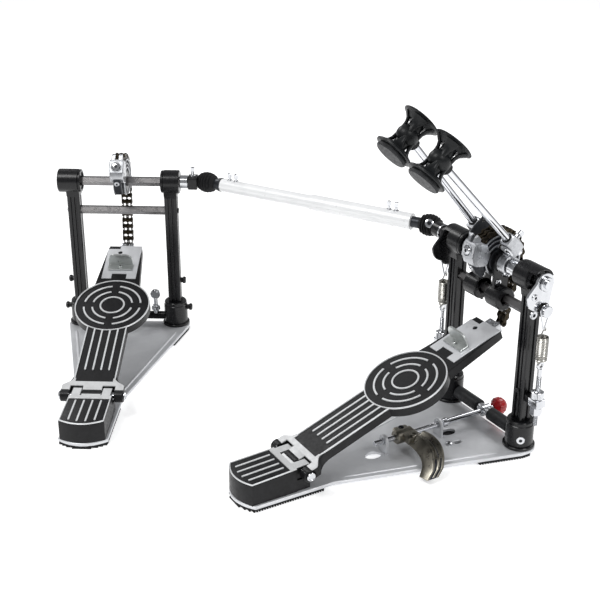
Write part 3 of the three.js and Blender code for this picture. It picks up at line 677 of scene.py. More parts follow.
def build_base(name, place, body, with_clamp):
    outline = plate_outline()
    loops = [outline]
    piece = Piece(f"{name}_plate", place, body, "plate_silver", f"{name}_base_plate")
    if with_clamp:
        rear, front = CLAMP_LUGS
        for x, y, width, length in ((CLAMP_ROD_X, rear - 13, 6, 9),
                                    (CLAMP_ROD_X, front + 13, 6, 9), (25, -53, 2.6, 5)):
            loops.append([(x + width * u, y + length * v) for u, v in circle(1, steps=24)])
        for y in CLAMP_LUGS:
            arch = [(CLAMP_ROD_X - 7, PLATE_TOP - 1), (CLAMP_ROD_X + 7, PLATE_TOP - 1)]
            arch += arc(7, 0, 180, (CLAMP_ROD_X, SPREADER_HEIGHT), 16)
            hole = circle(3.4, (CLAMP_ROD_X, SPREADER_HEIGHT), 20)
            piece.add(slab([arch, hole], y - 1.5, y + 1.5, 0.4, "y"), "plate")
        socket_screw(piece, shift(24, -63, PLATE_TOP - 0.2), 3.6)
    piece.add(slab(loops, PAD_THICKNESS + GAP, PLATE_TOP, 0.6), "plate")
    for side in (-1, 1):
        # a pressed bead stiffens each long edge
        rear = Vector((side * (PLATE_HEEL_HALF_WIDTH - 5), -196, PLATE_TOP - 1))
        front = Vector((side * (POST_X + 4), -26, PLATE_TOP - 1))
        steps = 24
        points = [rear.lerp(front, i / steps) for i in range(steps + 1)]
        radii = [0.3 + 2.1 * min(1, min(i, steps - i) / 1.5) ** 0.5 for i in range(steps + 1)]
        piece.add(sweep(points, radii, 14), "plate")
    piece.done()
    for end, back, front in (("heel", -PLATE_HEEL_END - 2, -216), ("front", -54, 3)):
        pad = Piece(f"{name}_{end}_rubber", place, body, "rubber", f"{name}_{end}_pad")
        ribbed_pad(pad, back, front)
        pad.done()


# ------------------------------------------------------------------ heel plate and footboard


def heel_top(y):
    """Height of the heel plate's sloping top."""
    share = (y + PLATE_HEEL_END) / (PLATE_HEEL_END - HINGE_BEHIND_AXLE)
    return HEEL_REAR_TOP + share * (HINGE_HEIGHT + BOARD_TOP - HEEL_REAR_TOP)


def heel_outline(half, back, front, bow):
    return clean(bend((-half, back + bow), (0, back - bow * 0.9), (half, back + bow), 20)
                 + [(half - 0.6, front), (-half + 0.6, front)])


def on_heel(mesh):
    """Lays a mesh made over z = 0 on the heel plate's sloping top."""
    for vert in mesh.verts:
        vert.co.z += heel_top(vert.co.y)
    return mesh


def build_heel(name, place, body):
    piece = Piece(f"{name}_heel_rest", place, body, "board_casting", f"{name}_heel_plate")
    front = -HINGE_BEHIND_AXLE - KNUCKLE_RADIUS - 2
    back = -PLATE_HEEL_END + 2
    outline = heel_outline(HEEL_HALF_WIDTH, back, front, 8)
    rings = [[(x, y, PLATE_TOP + GAP) for x, y in outline]]
    for distance, below in ((0.1, 2.4), (0.4, 1.3), (1.3, 1.0)):
        rings.append([(x, y, heel_top(y) - below) for x, y in inset(outline, distance)])
    piece.add(loft(rings), "board")
    rim = inset(outline, 0.5)
    piece.add(on_heel(slab([rim, inset(outline, 1.6)], -1.6, 0, 0.3)), "ridge")
    strip = rectangle(-23.2, 23.2, front - 6.5, front)
    piece.add(on_heel(slab([strip], -1.5, 0.02, 0.3)), "bare")
    for x in (-13.8, -4.6, 4.6, 13.8):
        rear = back + 6.5 + 9 * (x / HEEL_HALF_WIDTH) ** 2
        line = stadium(x - LINE_HALF_WIDTH, x + LINE_HALF_WIDTH, rear, front - 9.5, 0.9, 4)
        piece.add(on_heel(slab([line], -1.5, 0, 0.3)), "ridge")
    # two fingers run forward over the hinge, between the board's knuckles
    for side in (-1, 1):
        left, right = stretch_of(side, FINGER_INNER + 0.2, FINGER_OUTER - 0.2)
        tip = -HINGE_BEHIND_AXLE + KNUCKLE_RADIUS
        tongue = rectangle(left, right, front - 2, tip - 0.6)
        piece.add(on_heel(slab([tongue], -1.4, 0, 0.4)), "bare")
        side_shape = [(front - 1, PLATE_TOP + GAP), (-HINGE_BEHIND_AXLE + 1, PLATE_TOP + GAP),
                      (tip - 0.3, HINGE_HEIGHT - 5), (tip - 0.3, HINGE_HEIGHT + 2.5),
                      (-HINGE_BEHIND_AXLE + 3, HINGE_HEIGHT + BOARD_TOP - 1.2),
                      (front - 1, HINGE_HEIGHT + BOARD_TOP - 1.8)]
        piece.add(slab([side_shape], left, right, 0.4, "x"), "board")
    # a black tray under the hinge, seen through the board's slots: painted shade where the base
    # plate would show
    shade_tray = rectangle(-23, 23, front - 1, -HINGE_BEHIND_AXLE + 6)
    piece.add(slab([shade_tray], PLATE_TOP + GAP, HINGE_HEIGHT - KNUCKLE_RADIUS - 1.2, 0.3), "board")
    piece.done()

    pin = Piece(f"{name}_pin", place @ shift(0, -HINGE_BEHIND_AXLE, HINGE_HEIGHT), body,
                "polished_steel", f"{name}_hinge_pin")
    reach = HINGE_HALF_WIDTH + 0.5
    pin.add(rod("x", -reach, reach, HINGE_PIN_RADIUS, edge=0.2), "polished")
    cap = [(0, 0), (4.5, 0), (4.6, 0.8), (4.2, 1.5), (3.4, 1.7), (3.0, 1.35), (0, 1.4)]
    for side in (-1, 1):
        pin.add(turned(cap, sides=28), "polished", aim((side, 0, 0), (side * reach, 0, 0)))
    pin.done()


def stem_reach(x):
    """How far along the board a line at x meets the disc's near rim."""
    return DISC_CENTRE - math.sqrt(DISC_RIM ** 2 - x ** 2)


def with_tongue(right, tongue_y):
    """A closed outline from its right half and the tongue between the hinge slots."""
    left = [(-x, y) for x, y in reversed(right)]
    return clean([(-TONGUE_X, SLOT_END), (-TONGUE_X, tongue_y), (TONGUE_X, tongue_y),
                  (TONGUE_X, SLOT_END)] + right + left)


def board_outline():
    """The casting's outline, with the slots for the heel plate's fingers."""
    near = math.degrees(math.asin(STEM_HALF_WIDTH / DISC_RADIUS))
    far = math.degrees(math.asin(27 / DISC_RADIUS))
    half = HINGE_HALF_WIDTH
    right = [(SLOT_X, SLOT_END), (SLOT_X, -2.5), (half, -2.5), (half, 10)]
    right += bend((half - 1.5, 11.5), (STEM_HALF_WIDTH, 18), (STEM_HALF_WIDTH, 30), 6)
    right += arc(DISC_RADIUS, near - 90, 90 - far, (0, DISC_CENTRE), 36)
    right += [(TOE_HALF_WIDTH, TOE_END - 5), (TOE_HALF_WIDTH - 1, TOE_END)]
    return with_tongue(right, -2.5)


def hinge_top():
    """The bare silver casting round the hinge slots."""
    half, stem = HINGE_HALF_WIDTH - 0.4, STEM_HALF_WIDTH - 0.4
    right = [(SLOT_X, SLOT_END), (SLOT_X, -3.5), (half, -3.5), (half, 10)]
    right += bend((half - 1.2, 11.5), (stem, 17.5), (stem, 21), 6)
    right += [(stem - 2.2, 21), (stem - 2.2, 16)]
    return with_tongue(right, -6.3)


def build_board(name, place, body, angle):
    board = place @ shift(0, -HINGE_BEHIND_AXLE, HINGE_HEIGHT) @ tilt(angle)
    piece = Piece(f"{name}_board_casting", board, body, "board_casting", f"{name}_footboard")
    piece.add(slab([board_outline()], BOARD_BOTTOM, GROUND, 0.7, lower_edge=0.9), "board")
    for left, right in ((-HINGE_HALF_WIDTH, -SLOT_X), (-TONGUE_X, TONGUE_X),
                        (SLOT_X, HINGE_HALF_WIDTH)):
        piece.add(rod("x", left, right, KNUCKLE_RADIUS, edge=0.6), "board")
    low, high = GROUND - 0.6, BOARD_TOP
    piece.add(slab([hinge_top()], low, high, 0.35), "bare")

    at_disc = (0, DISC_CENTRE)
    lines = [[circle(43.9, at_disc, 96), circle(42.5, at_disc, 96)],
             [circle(14.8, at_disc, 56), circle(12.8, at_disc, 56)]]
    for inner, outer, gap in ((32.1, 34.2, 8), (22.2, 24.3, 11)):
        for quarter in range(4):
            start, end = 90 * quarter + gap, 90 * quarter + 90 - gap
            lines.append([arc(outer, start, end, at_disc, 18)
                          + arc(inner, end, start, at_disc, 18)])
    for side in (-1, 1):
        left, right = stretch_of(side, STEM_HALF_WIDTH - 1.6, STEM_HALF_WIDTH - 0.2)
        lines.append([rectangle(left, right, 20, stem_reach(STEM_HALF_WIDTH - 0.2) - 0.2)])
    for x in (-13.4, -4.5, 4.5, 13.4):
        line = [(edge, stem_reach(edge)) for edge in (x + LINE_HALF_WIDTH, x - LINE_HALF_WIDTH)]
        lines.append([line + arc(LINE_HALF_WIDTH, 180, 360, (x, 35), 8)])
    for loops in lines:
        piece.add(slab(loops, low, high, 0.35), "ridge")

    # the bare toe plate, notched round the stop and at its left front corner
    half = TOE_HALF_WIDTH - 0.3
    toe = [(-half, 190), (-9, 190), (-9, 199), (9, 199), (9, 190), (half, 190),
           (half, TOE_END - 1), (-6, TOE_END - 1), (-6, TOE_END - 7), (-half, TOE_END - 7)]
    hole = circle(2.7, TOE_HOLE, 20)
    piece.add(slab([toe, hole], GROUND - 0.5, BOARD_TOP, 0.3), "plate")
    # a dark rubber disc at the hole's floor: painted shade in the hole
    piece.add(rod("z", GROUND - 0.4, GROUND + 0.1, 2.8, (*TOE_HOLE, 0), 0.05), "rubber")
    piece.done()

    stop = Piece(f"{name}_stop", board, body, "zinc_steel", f"{name}_toe_stop")
    foot = BOARD_TOP + GAP
    upright = [(-15, foot), (15, foot)] + arc(9, 0, 90, (6, foot + 8), 8)
    upright += arc(9, 90, 180, (-6, foot + 8), 8)
    stop.add(slab([upright], 213, 215, 0.5, "y"), "zinc")
    leg = rectangle(-15, 15, 204, 214.5)
    stop.add(slab([leg], foot, foot + 2, 0.4), "zinc")
    socket_screw(stop, shift(0, 208.5, foot + 2), 2.4, "zinc")
    stop.done()

    clasp = Piece(f"{name}_clasp", board, body, "cast_silver", f"{name}_chain_clasp")
    along, up = TOE_PIN
    clasp.add(box((-8.5, TOE_END + GAP, -8), (8.5, along - 6.5, 3), 0.8), "cast")
    clasp.add(box((-1.2, TOE_END + 2, up - 2.5), (1.2, along + 1, up + 2.5), 0.4), "cast")
    for x in (-4.6, 4.6):
        clasp.add(box((x - 1.2, TOE_END + 1, 2.5), (x + 1.2, along - 7, 3.8), 0.3), "cast")
    clasp.done()


# ------------------------------------------------------------------ cam and chain


def chain_route(angle):
    """The chain's pin at the board and the point where it leaves the cam, in Y and Z."""
    cos, sin = math.cos(math.radians(angle)), math.sin(math.radians(angle))
    along, up = TOE_PIN
    pin = Vector((-HINGE_BEHIND_AXLE + along * cos - up * sin,
                  HINGE_HEIGHT + along * sin + up * cos))
    to_pin = pin - Vector((0, AXLE_HEIGHT))
    touch = math.atan2(to_pin.y, to_pin.x) + math.acos(CHAIN_RADIUS / to_pin.length)
    top = Vector((math.cos(touch), math.sin(touch))) * CHAIN_RADIUS + Vector((0, AXLE_HEIGHT))
    return pin, top, math.degrees(touch)


def link_plate(a, b, x, thickness, reach=3.3, waist=2.3):
    """A figure-eight plate between two pins, given in Y and Z."""
    along = b - a
    turn = math.degrees(math.atan2(along.y, along.x))
    middle = (a + b) / 2
    side = Vector((-along.y, along.x)).normalized()
    loop = arc(reach, turn - 125, turn + 125, (b.x, b.y), 12) + [tuple(middle + side * waist)]
    loop += arc(reach, turn + 55, turn + 305, (a.x, a.y), 12) + [tuple(middle - side * waist)]
    return slab([loop], x - thickness / 2, x + thickness / 2, 0.18, "x")


def add_chain(piece, pins, inner_first):
    """A duplex roller chain through pins given in Y and Z."""
    for number, (a, b) in enumerate(zip(pins, pins[1:])):
        inner = (number % 2 == 0) == inner_first
        xs = (-4.75, -0.95, 0.95, 4.75) if inner else (-6.0, 0, 6.0)
        for x in xs:
            piece.add(link_plate(a, b, x, 0.95), "chain")
    for pin in pins:
        at = (0, pin.x, pin.y)
        piece.add(rod("x", -6.9, 6.9, 1.25, at, 0.3, 10), "chain")
        for x in (-CHAIN_ROW, CHAIN_ROW):
            piece.add(rod("x", x - 1.35, x + 1.35, 2.5, at, 0.2, 14), "chain")


def on_cam(start, end, links):
    """The pins of some links on the cam, between two angles in degrees."""
    return [Vector(point) for point in arc(CHAIN_RADIUS, start, end, (0, AXLE_HEIGHT), links)]


def build_chain(name, place, angle, phase):
    pin, top, leave = chain_route(angle)
    turn = leave + UNWRAP_ANGLE
    end = WRAP_END + phase
    wrap_links = round((end - turn) / math.degrees(CHAIN_PITCH / CHAIN_RADIUS))
    run_links = round((top - pin).length / CHAIN_PITCH)
    run = [pin + (top - pin) * i / run_links for i in range(run_links + 1)]
    for part, body, cad_part, pins, inner_first in (
            ("on_cam", "drive", "wrap", on_cam(turn, end, wrap_links), False),
            ("leading", "lead_links", "lead", on_cam(leave, turn, LEAD_LINKS), True),
            ("hanging", "run_links", "run", run, run_links % 2 == 1)):
        piece = Piece(f"{name}_chain_{part}", place, f"{name}_{body}", "chain_steel",
                      f"{name}_chain_{cad_part}")
        add_chain(piece, pins, inner_first)
        piece.done()


def band(outer, inner, start, end, steps):
    """A closed strip between two arcs about the axle."""
    return arc(outer, start, end, steps=steps) + arc(inner, end, start, steps=steps)


def build_cam(name, place, body, phase):
    cam = place @ shift(0, 0, AXLE_HEIGHT) @ tilt(phase)
    piece = Piece(f"{name}_cam_casting", cam, body, "cast_silver", f"{name}_cam")
    # the web, the chain seat and the hub are dark: painted shade for the cam's recessed body
    # between its silver rims
    web = arc(CAM_SEAT - 1.6, -14, 143, steps=30) + arc(16, 200, 318, steps=14)
    bore = hexagon(BORE_FLATS)
    piece.add(slab([web, bore], -5.2, 5.2, 0.3, "x"), "dark")
    for side in (-1, 1):
        low, high = stretch_of(side, 5.6, CAM_HALF_WIDTH)
        rim = band(CAM_SEAT, CAM_SEAT - 1.7, WRAP_START, WRAP_END, 34)
        piece.add(slab([rim], low, high, 0.3, "x"), "cast")
        groove = band(CAM_SEAT - 5, CAM_SEAT - 6.2, -30, 150, 30)
        piece.add(slab([groove], low, high - 0.4, 0.2, "x"), "cast")
        piece.add(slab([band(17.6, 16, -60, 258, 40)], low, high, 0.3, "x"), "cast")
    seat = band(CAM_SEAT, CAM_SEAT - 2, WRAP_START, WRAP_END, 34)
    piece.add(slab([seat], -5.8, 5.8, 0.1, "x"), "dark")
    piece.add(slab([circle(12.5), bore], -7.2, 7.2, 0.5, "x"), "dark")

    # the clamp that bolts the chain's end to the heel side of the cam
    grip = [(-17, 19.8), (-25, 24), (-33.5, 24), (-36.5, 8), (-34, 1), (-26, -3), (-16, -3),
            (-12, 8)]
    piece.add(slab([grip], -8.2, 8.2, 0.9, "x"), "cast")
    # the clamp's narrow tail is dark: painted shade, as on the cam's web
    tail = [(-33, 1), (-27, -9.5), (-19, -17), (-15, -12), (-12, 0)]
    piece.add(slab([tail], -4.5, 4.5, 0.8, "x"), "dark")
    step = [(-24, 22), (-34.5, 22), (-37.4, 8.5), (-24, 6.5)]
    piece.add(slab([step], -8.6, 8.6, 0.8, "x"), "cast")
    prong = [(-25, 23), (-33, 23), (-30.5, 29), (-27.5, 31), (-24, 27)]
    for x in (-4.2, 4.2):
        piece.add(slab([prong], x - 2.2, x + 2.2, 0.7, "x"), "cast")
    face = aim((0, -0.98, 0.2), (0, -36.2, 15.2))
    piece.add(ring_of(6.3, 2, -0.4, 0.7, edge=0.3), "cast", face)
    # a thin dark ring round the screw head: painted shade in the crevice
    piece.add(ring_of(5.6, 4.9, 0.6, 0.8, edge=0.05), "dark", face)
    socket_screw(piece, face @ shift(z=0.4), 4.7, "polished", 2.0)
    socket_screw(piece, aim((0, -0.88, -0.47), (0, -29.5, -4.5)), 3.2, "cast", 1.6)
    piece.done()


# ------------------------------------------------------------------ posts, axles and bars


def post_section(x):
    """The extrusion's section, with grooves down its heel side and its outer sides."""
    w, d = POST_WIDTH / 2, POST_DEPTH / 2
    corner, groove = 1.2, 1.4
    loop = [(-w, -d + corner), (-w + corner, -d), (-3.4, -d), (-2.8, -d + 1.8), (-1.0, -d + 1.8),
            (-0.4, -d), (1.2, -d), (1.8, -d + 1.2), (3.0, -d + 1.2), (3.6, -d), (w - corner, -d),
            (w, -d + corner), (w, -1.6), (w - groove, -1), (w - groove, 1.4), (w, 2),
            (w, d - corner), (w - corner, d), (-w + corner, d), (-w, d - corner), (-w, 2),
            (-w + groove, 1.4), (-w + groove, -1), (-w, -1.6)]
    return [(x + u, v) for u, v in loop]


def housing_profile(inner, outer):
    """A bearing housing with a lip at its inner end."""
    r = HOUSING_RADIUS
    return [(6.5, inner + 1.5), (10.4, inner + 1.5), (11, inner), (r - 1.2, inner),
            (r - 0.5, inner + 0.7), (r - 0.5, inner + 2.6), (r - 0.9, inner + 3), (r, inner + 3.6),
            (r, outer - 0.9), (r - 0.9, outer), (9, outer), (6.5, outer - 1),
            (6.5, inner + 1.5)]


def socket_mesh(x):
    """A post's socket, with a foot flange and a step below its mouth."""
    r, bottom, top = SOCKET_RADIUS, PLATE_TOP + GAP, SOCKET_TOP
    profile = [(0, bottom), (r + 1.8, bottom), (r + 2.2, bottom + 0.5), (r + 2.2, bottom + 2.4),
               (r + 1.7, bottom + 3), (r, bottom + 3.2), (r, top - 5), (r - 0.7, top - 4.3),
               (r - 0.7, top - 1.2), (r - 1.6, top), (0, top)]
    return turned(profile, at=(x, 0, 0), sides=40)


def build_post(name, place, body, side, housing, hood=None):
    """A post with its bearing housing; one with a hood also carries the spring's anchor."""
    label = label_of(side)
    x = side * POST_X
    inner, outer = housing
    slot = "black_casting" if name == "slave" else "black_extrusion"
    piece = Piece(f"{name}_upright_{label}", place, body, slot, f"{name}_post_{label}")
    piece.add(slab([post_section(x)], SOCKET_TOP - 0.5, AXLE_HEIGHT - 6, 0.3), "extrusion")
    turn = shift(0, 0, AXLE_HEIGHT) @ (Matrix.Identity(4) if side > 0 else tilt(180, "Z"))
    piece.add(turned(housing_profile(inner, outer), "x", sides=48), "black", turn)
    neck = [(-9.5, AXLE_HEIGHT - 8), (-7.4, AXLE_HEIGHT - 19), (7.4, AXLE_HEIGHT - 19),
            (9.5, AXLE_HEIGHT - 8)]
    piece.add(slab([neck], x - 8, x + 8, 0.8, "x"), "black")
    outside = POST_WIDTH / 2 - 0.3
    if hood:
        shell = band(HOUSING_RADIUS, HOUSING_RADIUS - 2.2, 20, 136, 26)
        low, high = stretch_of(side, outer - 1, hood)
        piece.add(slab([shell], low, high, 0.5, "x"), "black", shift(0, 0, AXLE_HEIGHT))
        low, high = stretch_of(side, POST_X, SPRING_X - 6.8)
        piece.add(box((low, -4.5, 62.5), (high, 4.5, 70.5), 0.8), "black")
        low, high = stretch_of(side, SPRING_X - 6.8, SPRING_X + 6.8)
        piece.add(box((low, -6, 62), (high, 6, 71), 0.9), "polished")
        bolt = aim((side, 0, 0), (x + side * outside, -2.5, CROSSBAR_HEIGHT))
        socket_screw(piece, bolt, 4.6, "polished", 1.6)
        piece.add(rod("y", -8.4, -6.4, 2.6, (x, 0, 72), 0.3, 12), "black")
    else:
        piece.add(socket_mesh(x), "black")
        for height, reach in ((66, outside - 0.2), (10 + SOCKET_TOP / 2, SOCKET_RADIUS - 0.5)):
            stud = aim((side, 0, 0), (x + side * reach, 0, height))
            piece.add(rod("z", 0, 3, 3.2, edge=0.5, sides=24), "black", stud)
            piece.add(rod("z", 2.6, 7, 4.4, edge=1.2, sides=24), "black", stud)
        bolt = aim((side, 0, 0), (x + side * outside, 0, CROSSBAR_HEIGHT))
        piece.add(rod("z", 0, 1.6, 3.4, edge=0.6, sides=24), "black", bolt)
    piece.done()


def build_main_sockets():
    for side in (-1, 1):
        label = label_of(side)
        piece = Piece(f"main_foot_{label}", MAIN, "main_frame", "black_casting",
                      f"main_socket_{label}")
        x = side * POST_X
        piece.add(socket_mesh(x), "black")
        outward = Vector((side * 0.82, -0.57, 0)).normalized()
        at = Vector((x, 0, 19.5)) + outward * (SOCKET_RADIUS - 0.3)
        socket_screw(piece, aim(outward, at), 4.4, "polished", 1.5)
        piece.add(rod("y", -SOCKET_RADIUS - 1, -SOCKET_RADIUS + 4, 2.4, (x, 0, 33), 0.4, 14),
                  "black")
        piece.done()


def hex_bar(low, high, flats, at, edge=0.3):
    return slab([hexagon(flats, 0, at)], low, high, edge, "x")


def build_bars():
    half = POST_X - POST_WIDTH / 2 + 3
    for name, place, body in (("main", MAIN, "main_frame"), ("slave", SLAVE, "slave_frame")):
        bar = Piece(f"{name}_crossbar_steel", place, body, "satin_steel", f"{name}_crossbar")
        bar.add(hex_bar(-half, half, CROSSBAR_FLATS, (0, CROSSBAR_HEIGHT)), "satin")
        bar.done()
    z = SPREADER_HEIGHT
    sleeve_end = POST_X - SOCKET_RADIUS - 0.4
    brace = Piece("main_brace", MAIN, "main_frame", "rubber", "main_spreader")
    brace.add(rod("x", -49, 49, 5, (0, 0, z)), "polished")
    for low, high in ((-sleeve_end, CLAMP_ROD_X - 9), (CLAMP_ROD_X + 9, sleeve_end)):
        brace.add(rod("x", low, high, 7.2, (0, 0, z), 1.0), "skirt")
    brace.add(ring_of(6, 3.3, -6, 6, "y", (CLAMP_ROD_X, 0, z), 0.6), "polished")
    brace.done()
    brace = Piece("slave_brace", SLAVE, "slave_frame", "black_casting", "slave_spreader")
    brace.add(rod("x", -49, 49, 5, (0, 0, SLAVE_SPREADER_HEIGHT)), "black")
    stand = shift(34, 0, SLAVE_SPREADER_HEIGHT + 3)
    brace.add(rod("z", 0, 12, 3.6, edge=0.5, sides=20), "polished", stand)
    brace.add(knurled(5.4, 5, 9, 18), "polished", stand)
    brace.add(rod("z", 9, 22, 2.6, edge=0.3, sides=20), "polished", stand)
    brace.add(rod("y", -2.2, 2.2, 6.2, (0, 0, 26), 0.7, 32), "polished", stand)
    brace.add(ring_of(4.6, 3.8, -2.6, 2.6, "y", (0, 0, 26), 0.2), "polished", stand)
    brace.done()


def build_brackets():
    """Two castings clamped on the crossbar, each with a blade that carries an axle's end."""
    shapes = (("centre_bracket_left", (-32, -12), (-17, -12)),
              ("centre_bracket_right", (4, 24), (9.4, 13.4)))
    bar, axle = (-2, CROSSBAR_HEIGHT), (0, AXLE_HEIGHT)
    collar = [circle(12.3, bar, 40), hexagon(CROSSBAR_FLATS + 0.6, 0, bar)]
    blade = [arc(10.2, 0, 180, axle, 20) + [(-9.5, CROSSBAR_HEIGHT), (7.5, CROSSBAR_HEIGHT)],
             circle(6.6, axle, 24)]
    for name, foot, upright in shapes:
        piece = Piece(f"{name}_casting", MAIN, "main_frame", "black_casting", name)
        piece.add(slab(collar, *foot, 1.2, "x"), "black")
        piece.add(slab(blade, *upright, 0.6, "x"), "black")
        for face, y, z, radius in ((upright[1], -4.5, 174, 3.3),
                                   (foot[1], 4, CROSSBAR_HEIGHT - 7, 2.6)):
            at = aim((1, 0, 0), (face - 0.2, y, z))
            socket_screw(piece, at, radius, "polished", 1.6)
        # a dark rubber strip at the collar's split: painted shade in the slit
        split_shade = box((foot[0] + 0.6, -2.6, CROSSBAR_HEIGHT - 13.5),
                    (foot[1] - 0.6, -1.2, CROSSBAR_HEIGHT - 5), 0)
        piece.add(split_shade, "rubber")
        piece.done()


def build_axles():
    at = (0, AXLE_HEIGHT)
    centre = (0, 0, AXLE_HEIGHT)
    piece = Piece("main_axle_steel", MAIN, "main_drive", "polished_steel", "main_axle")
    piece.add(hex_bar(-8.6, 79, AXLE_FLATS, at), "polished")
    sleeve = [(5, 28), (8, 28), (8.5, 28.6), (8.5, 34), (9.3, 34.8), (9.3, 41.8), (8.7, 42.5),
              (5, 42.5)]
    piece.add(turned(sleeve, "x", centre, 36), "polished")
    cap = [(0, 78.6), (7.5, 78.6), (7.5, 80.4), (6.9, 81), (4.6, 81), (4.6, 83), (0, 83)]
    piece.add(turned(cap, "x", centre, 36), "polished")
    piece.done()
    piece = Piece("left_axle_steel", MAIN, "left_drive", "polished_steel", "left_axle")
    piece.add(hex_bar(MAIN_JOINT_X + JOINT_REACH + 0.1, -11, AXLE_FLATS, at), "satin")
    piece.add(ring_of(8.6, 5, -88, -85.8, "x", centre), "polished")
    piece.add(rod("x", MAIN_JOINT_X + JOINT_REACH, -88.4, 8.4, centre, 0.6), "black")
    piece.done()
    piece = Piece("slave_axle_steel", SLAVE, "slave_drive", "satin_steel", "slave_axle")
    end = SLAVE_JOINT_X - JOINT_REACH
    piece.add(hex_bar(-70, end, AXLE_FLATS, at), "satin")
    piece.add(ring_of(8.2, 5, 71.6, 81.5, "x", centre, 0.7), "polished")
    hub = stadium(-8, 8, AXLE_HEIGHT - 8, AXLE_HEIGHT + 8, 2.5, 4)
    piece.add(slab([hub], 81.6, end + 0.2, 0.5, "x"), "black")
    key_bolt(piece, shift((81.6 + end) / 2, 0, AXLE_HEIGHT + 7.8), 11)
    piece.done()


# ------------------------------------------------------------------ springs


def build_spring(side):
    label = label_of(side)
    x = side * SPRING_X
    drive = "left_drive" if side < 0 else "main_drive"
    plate = Piece(f"{label}_spring_arm", MAIN @ shift(0, 0, AXLE_HEIGHT), drive, "polished_steel",
                  f"{label}_spring_plate")
    outline = arc(11, -20, 170, steps=24) + [(-20, -8), (-22, -12)]
    outline += bend((-21, -17), (-18, -26), (-10, -27), 5)
    outline += arc(6, 205, 350, (0, -SPRING_ARM), 14)
    low, high = stretch_of(side, 75, 78)
    plate.add(slab([outline, hexagon(BORE_FLATS)], low, high, 0.5, "x"),
              "polished" if side > 0 else "black")
    outward = aim((side, 0, 0), (side * 77.9, 0, -SPRING_ARM))
    plate.add(rod("z", -0.5, 6.8, 1.8, edge=0.3, sides=20), "polished", outward)
    plate.add(knurled(7.6, 0.1, 1.3, 20, 0.9), "black", outward)
    plate.add(knurled(6.4, 4.6, 7.4, 26, 0.5), "polished", outward)
    if side < 0:
        hub = aim((side, 0, 0), (side * 77.9, 0, 0))
        plate.add(turned([(0, 0), (9, 0), (9, 3), (6, 4.4), (0, 4.4)], sides=32), "black", hub)
    socket_screw(plate, aim((side, 0, 0), (side * 77.9, -12.5, -12)), 3.6, "polished", 1.6)
    plate.done()

    # wire loop from the anchor down to the coil
    loop = Piece(f"{label}_spring_link", MAIN @ shift(x, 0, 0), f"{label}_spring_hook",
                 "spring_steel", f"{label}_spring_loop")
    points = [(0, y, z) for y, z in arc(5.8, -20, 200, (0, AXLE_HEIGHT - SPRING_ARM), 16)]
    points += [(0, -1.2, COIL_TOP + 9), (0, -0.6, COIL_TOP + 7), (0, 0.6, COIL_TOP + 7),
               (0, 1.2, COIL_TOP + 9)]
    loop.add(sweep(points, 0.9, 10, True), "polished")
    loop.done()

    coil = Piece(f"{label}_spring_wire", MAIN @ shift(x, 0, 0), f"{label}_spring",
                 "spring_steel", f"{label}_spring_coil")
    mean = COIL_RADIUS - COIL_WIRE
    turns = 17
    low, high = COIL_BOTTOM + 1, COIL_TOP - 1.2
    points = [(0, y, z) for y, z in arc(3.2, -60, -200, (0, SPRING_EYE_HEIGHT + 1.0), 10)]
    points.append((0.8, -4.6, low - 2.2))
    winding = arc(mean, -90, 360 * turns - 90, steps=22 * turns)
    for i, (across, along) in enumerate(winding):
        points.append((across, along, low + (high - low) * i / (len(winding) - 1)))
    points += [(0.2, -4.2, high + 2), (0.4, -1.8, high + 4.6), (0, 0.4, high + 8.6),
               (0, 2.2, high + 9.6), (0, 3.0, high + 7.6), (0, 1.6, high + 5.6)]
    coil.add(sweep(points, COIL_WIRE, 8), "spring")
    made = coil.object()
    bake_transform(made)

    eye = Piece(f"{label}_spring_eye", MAIN @ shift(x, 0, 0), "main_frame", "polished_steel",
                f"{label}_spring_rod")
    eye.add(ring_of(4.4, 2.1, -1.4, 1.4, "x", (0, 0, SPRING_EYE_HEIGHT), 0.5), "polished")
    thread = [(0, 40), (1.9, 40)]
    for turn in range(56):
        thread += [(2.6, 40.6 + turn), (2.25, 41.1 + turn)]
    thread += [(2.3, 97), (2.4, 104.5), (0, 104.5)]
    eye.add(turned(thread, sides=16), "polished")
    eye.add(knurled(6.5, 71.3, 79, 28), "polished")
    eye.add(rod("z", 71.3, 80, 4.6, edge=0.5), "polished")
    hex_nut(eye, 11, 53, 61.7)
    eye.done()


# ------------------------------------------------------------------ beaters


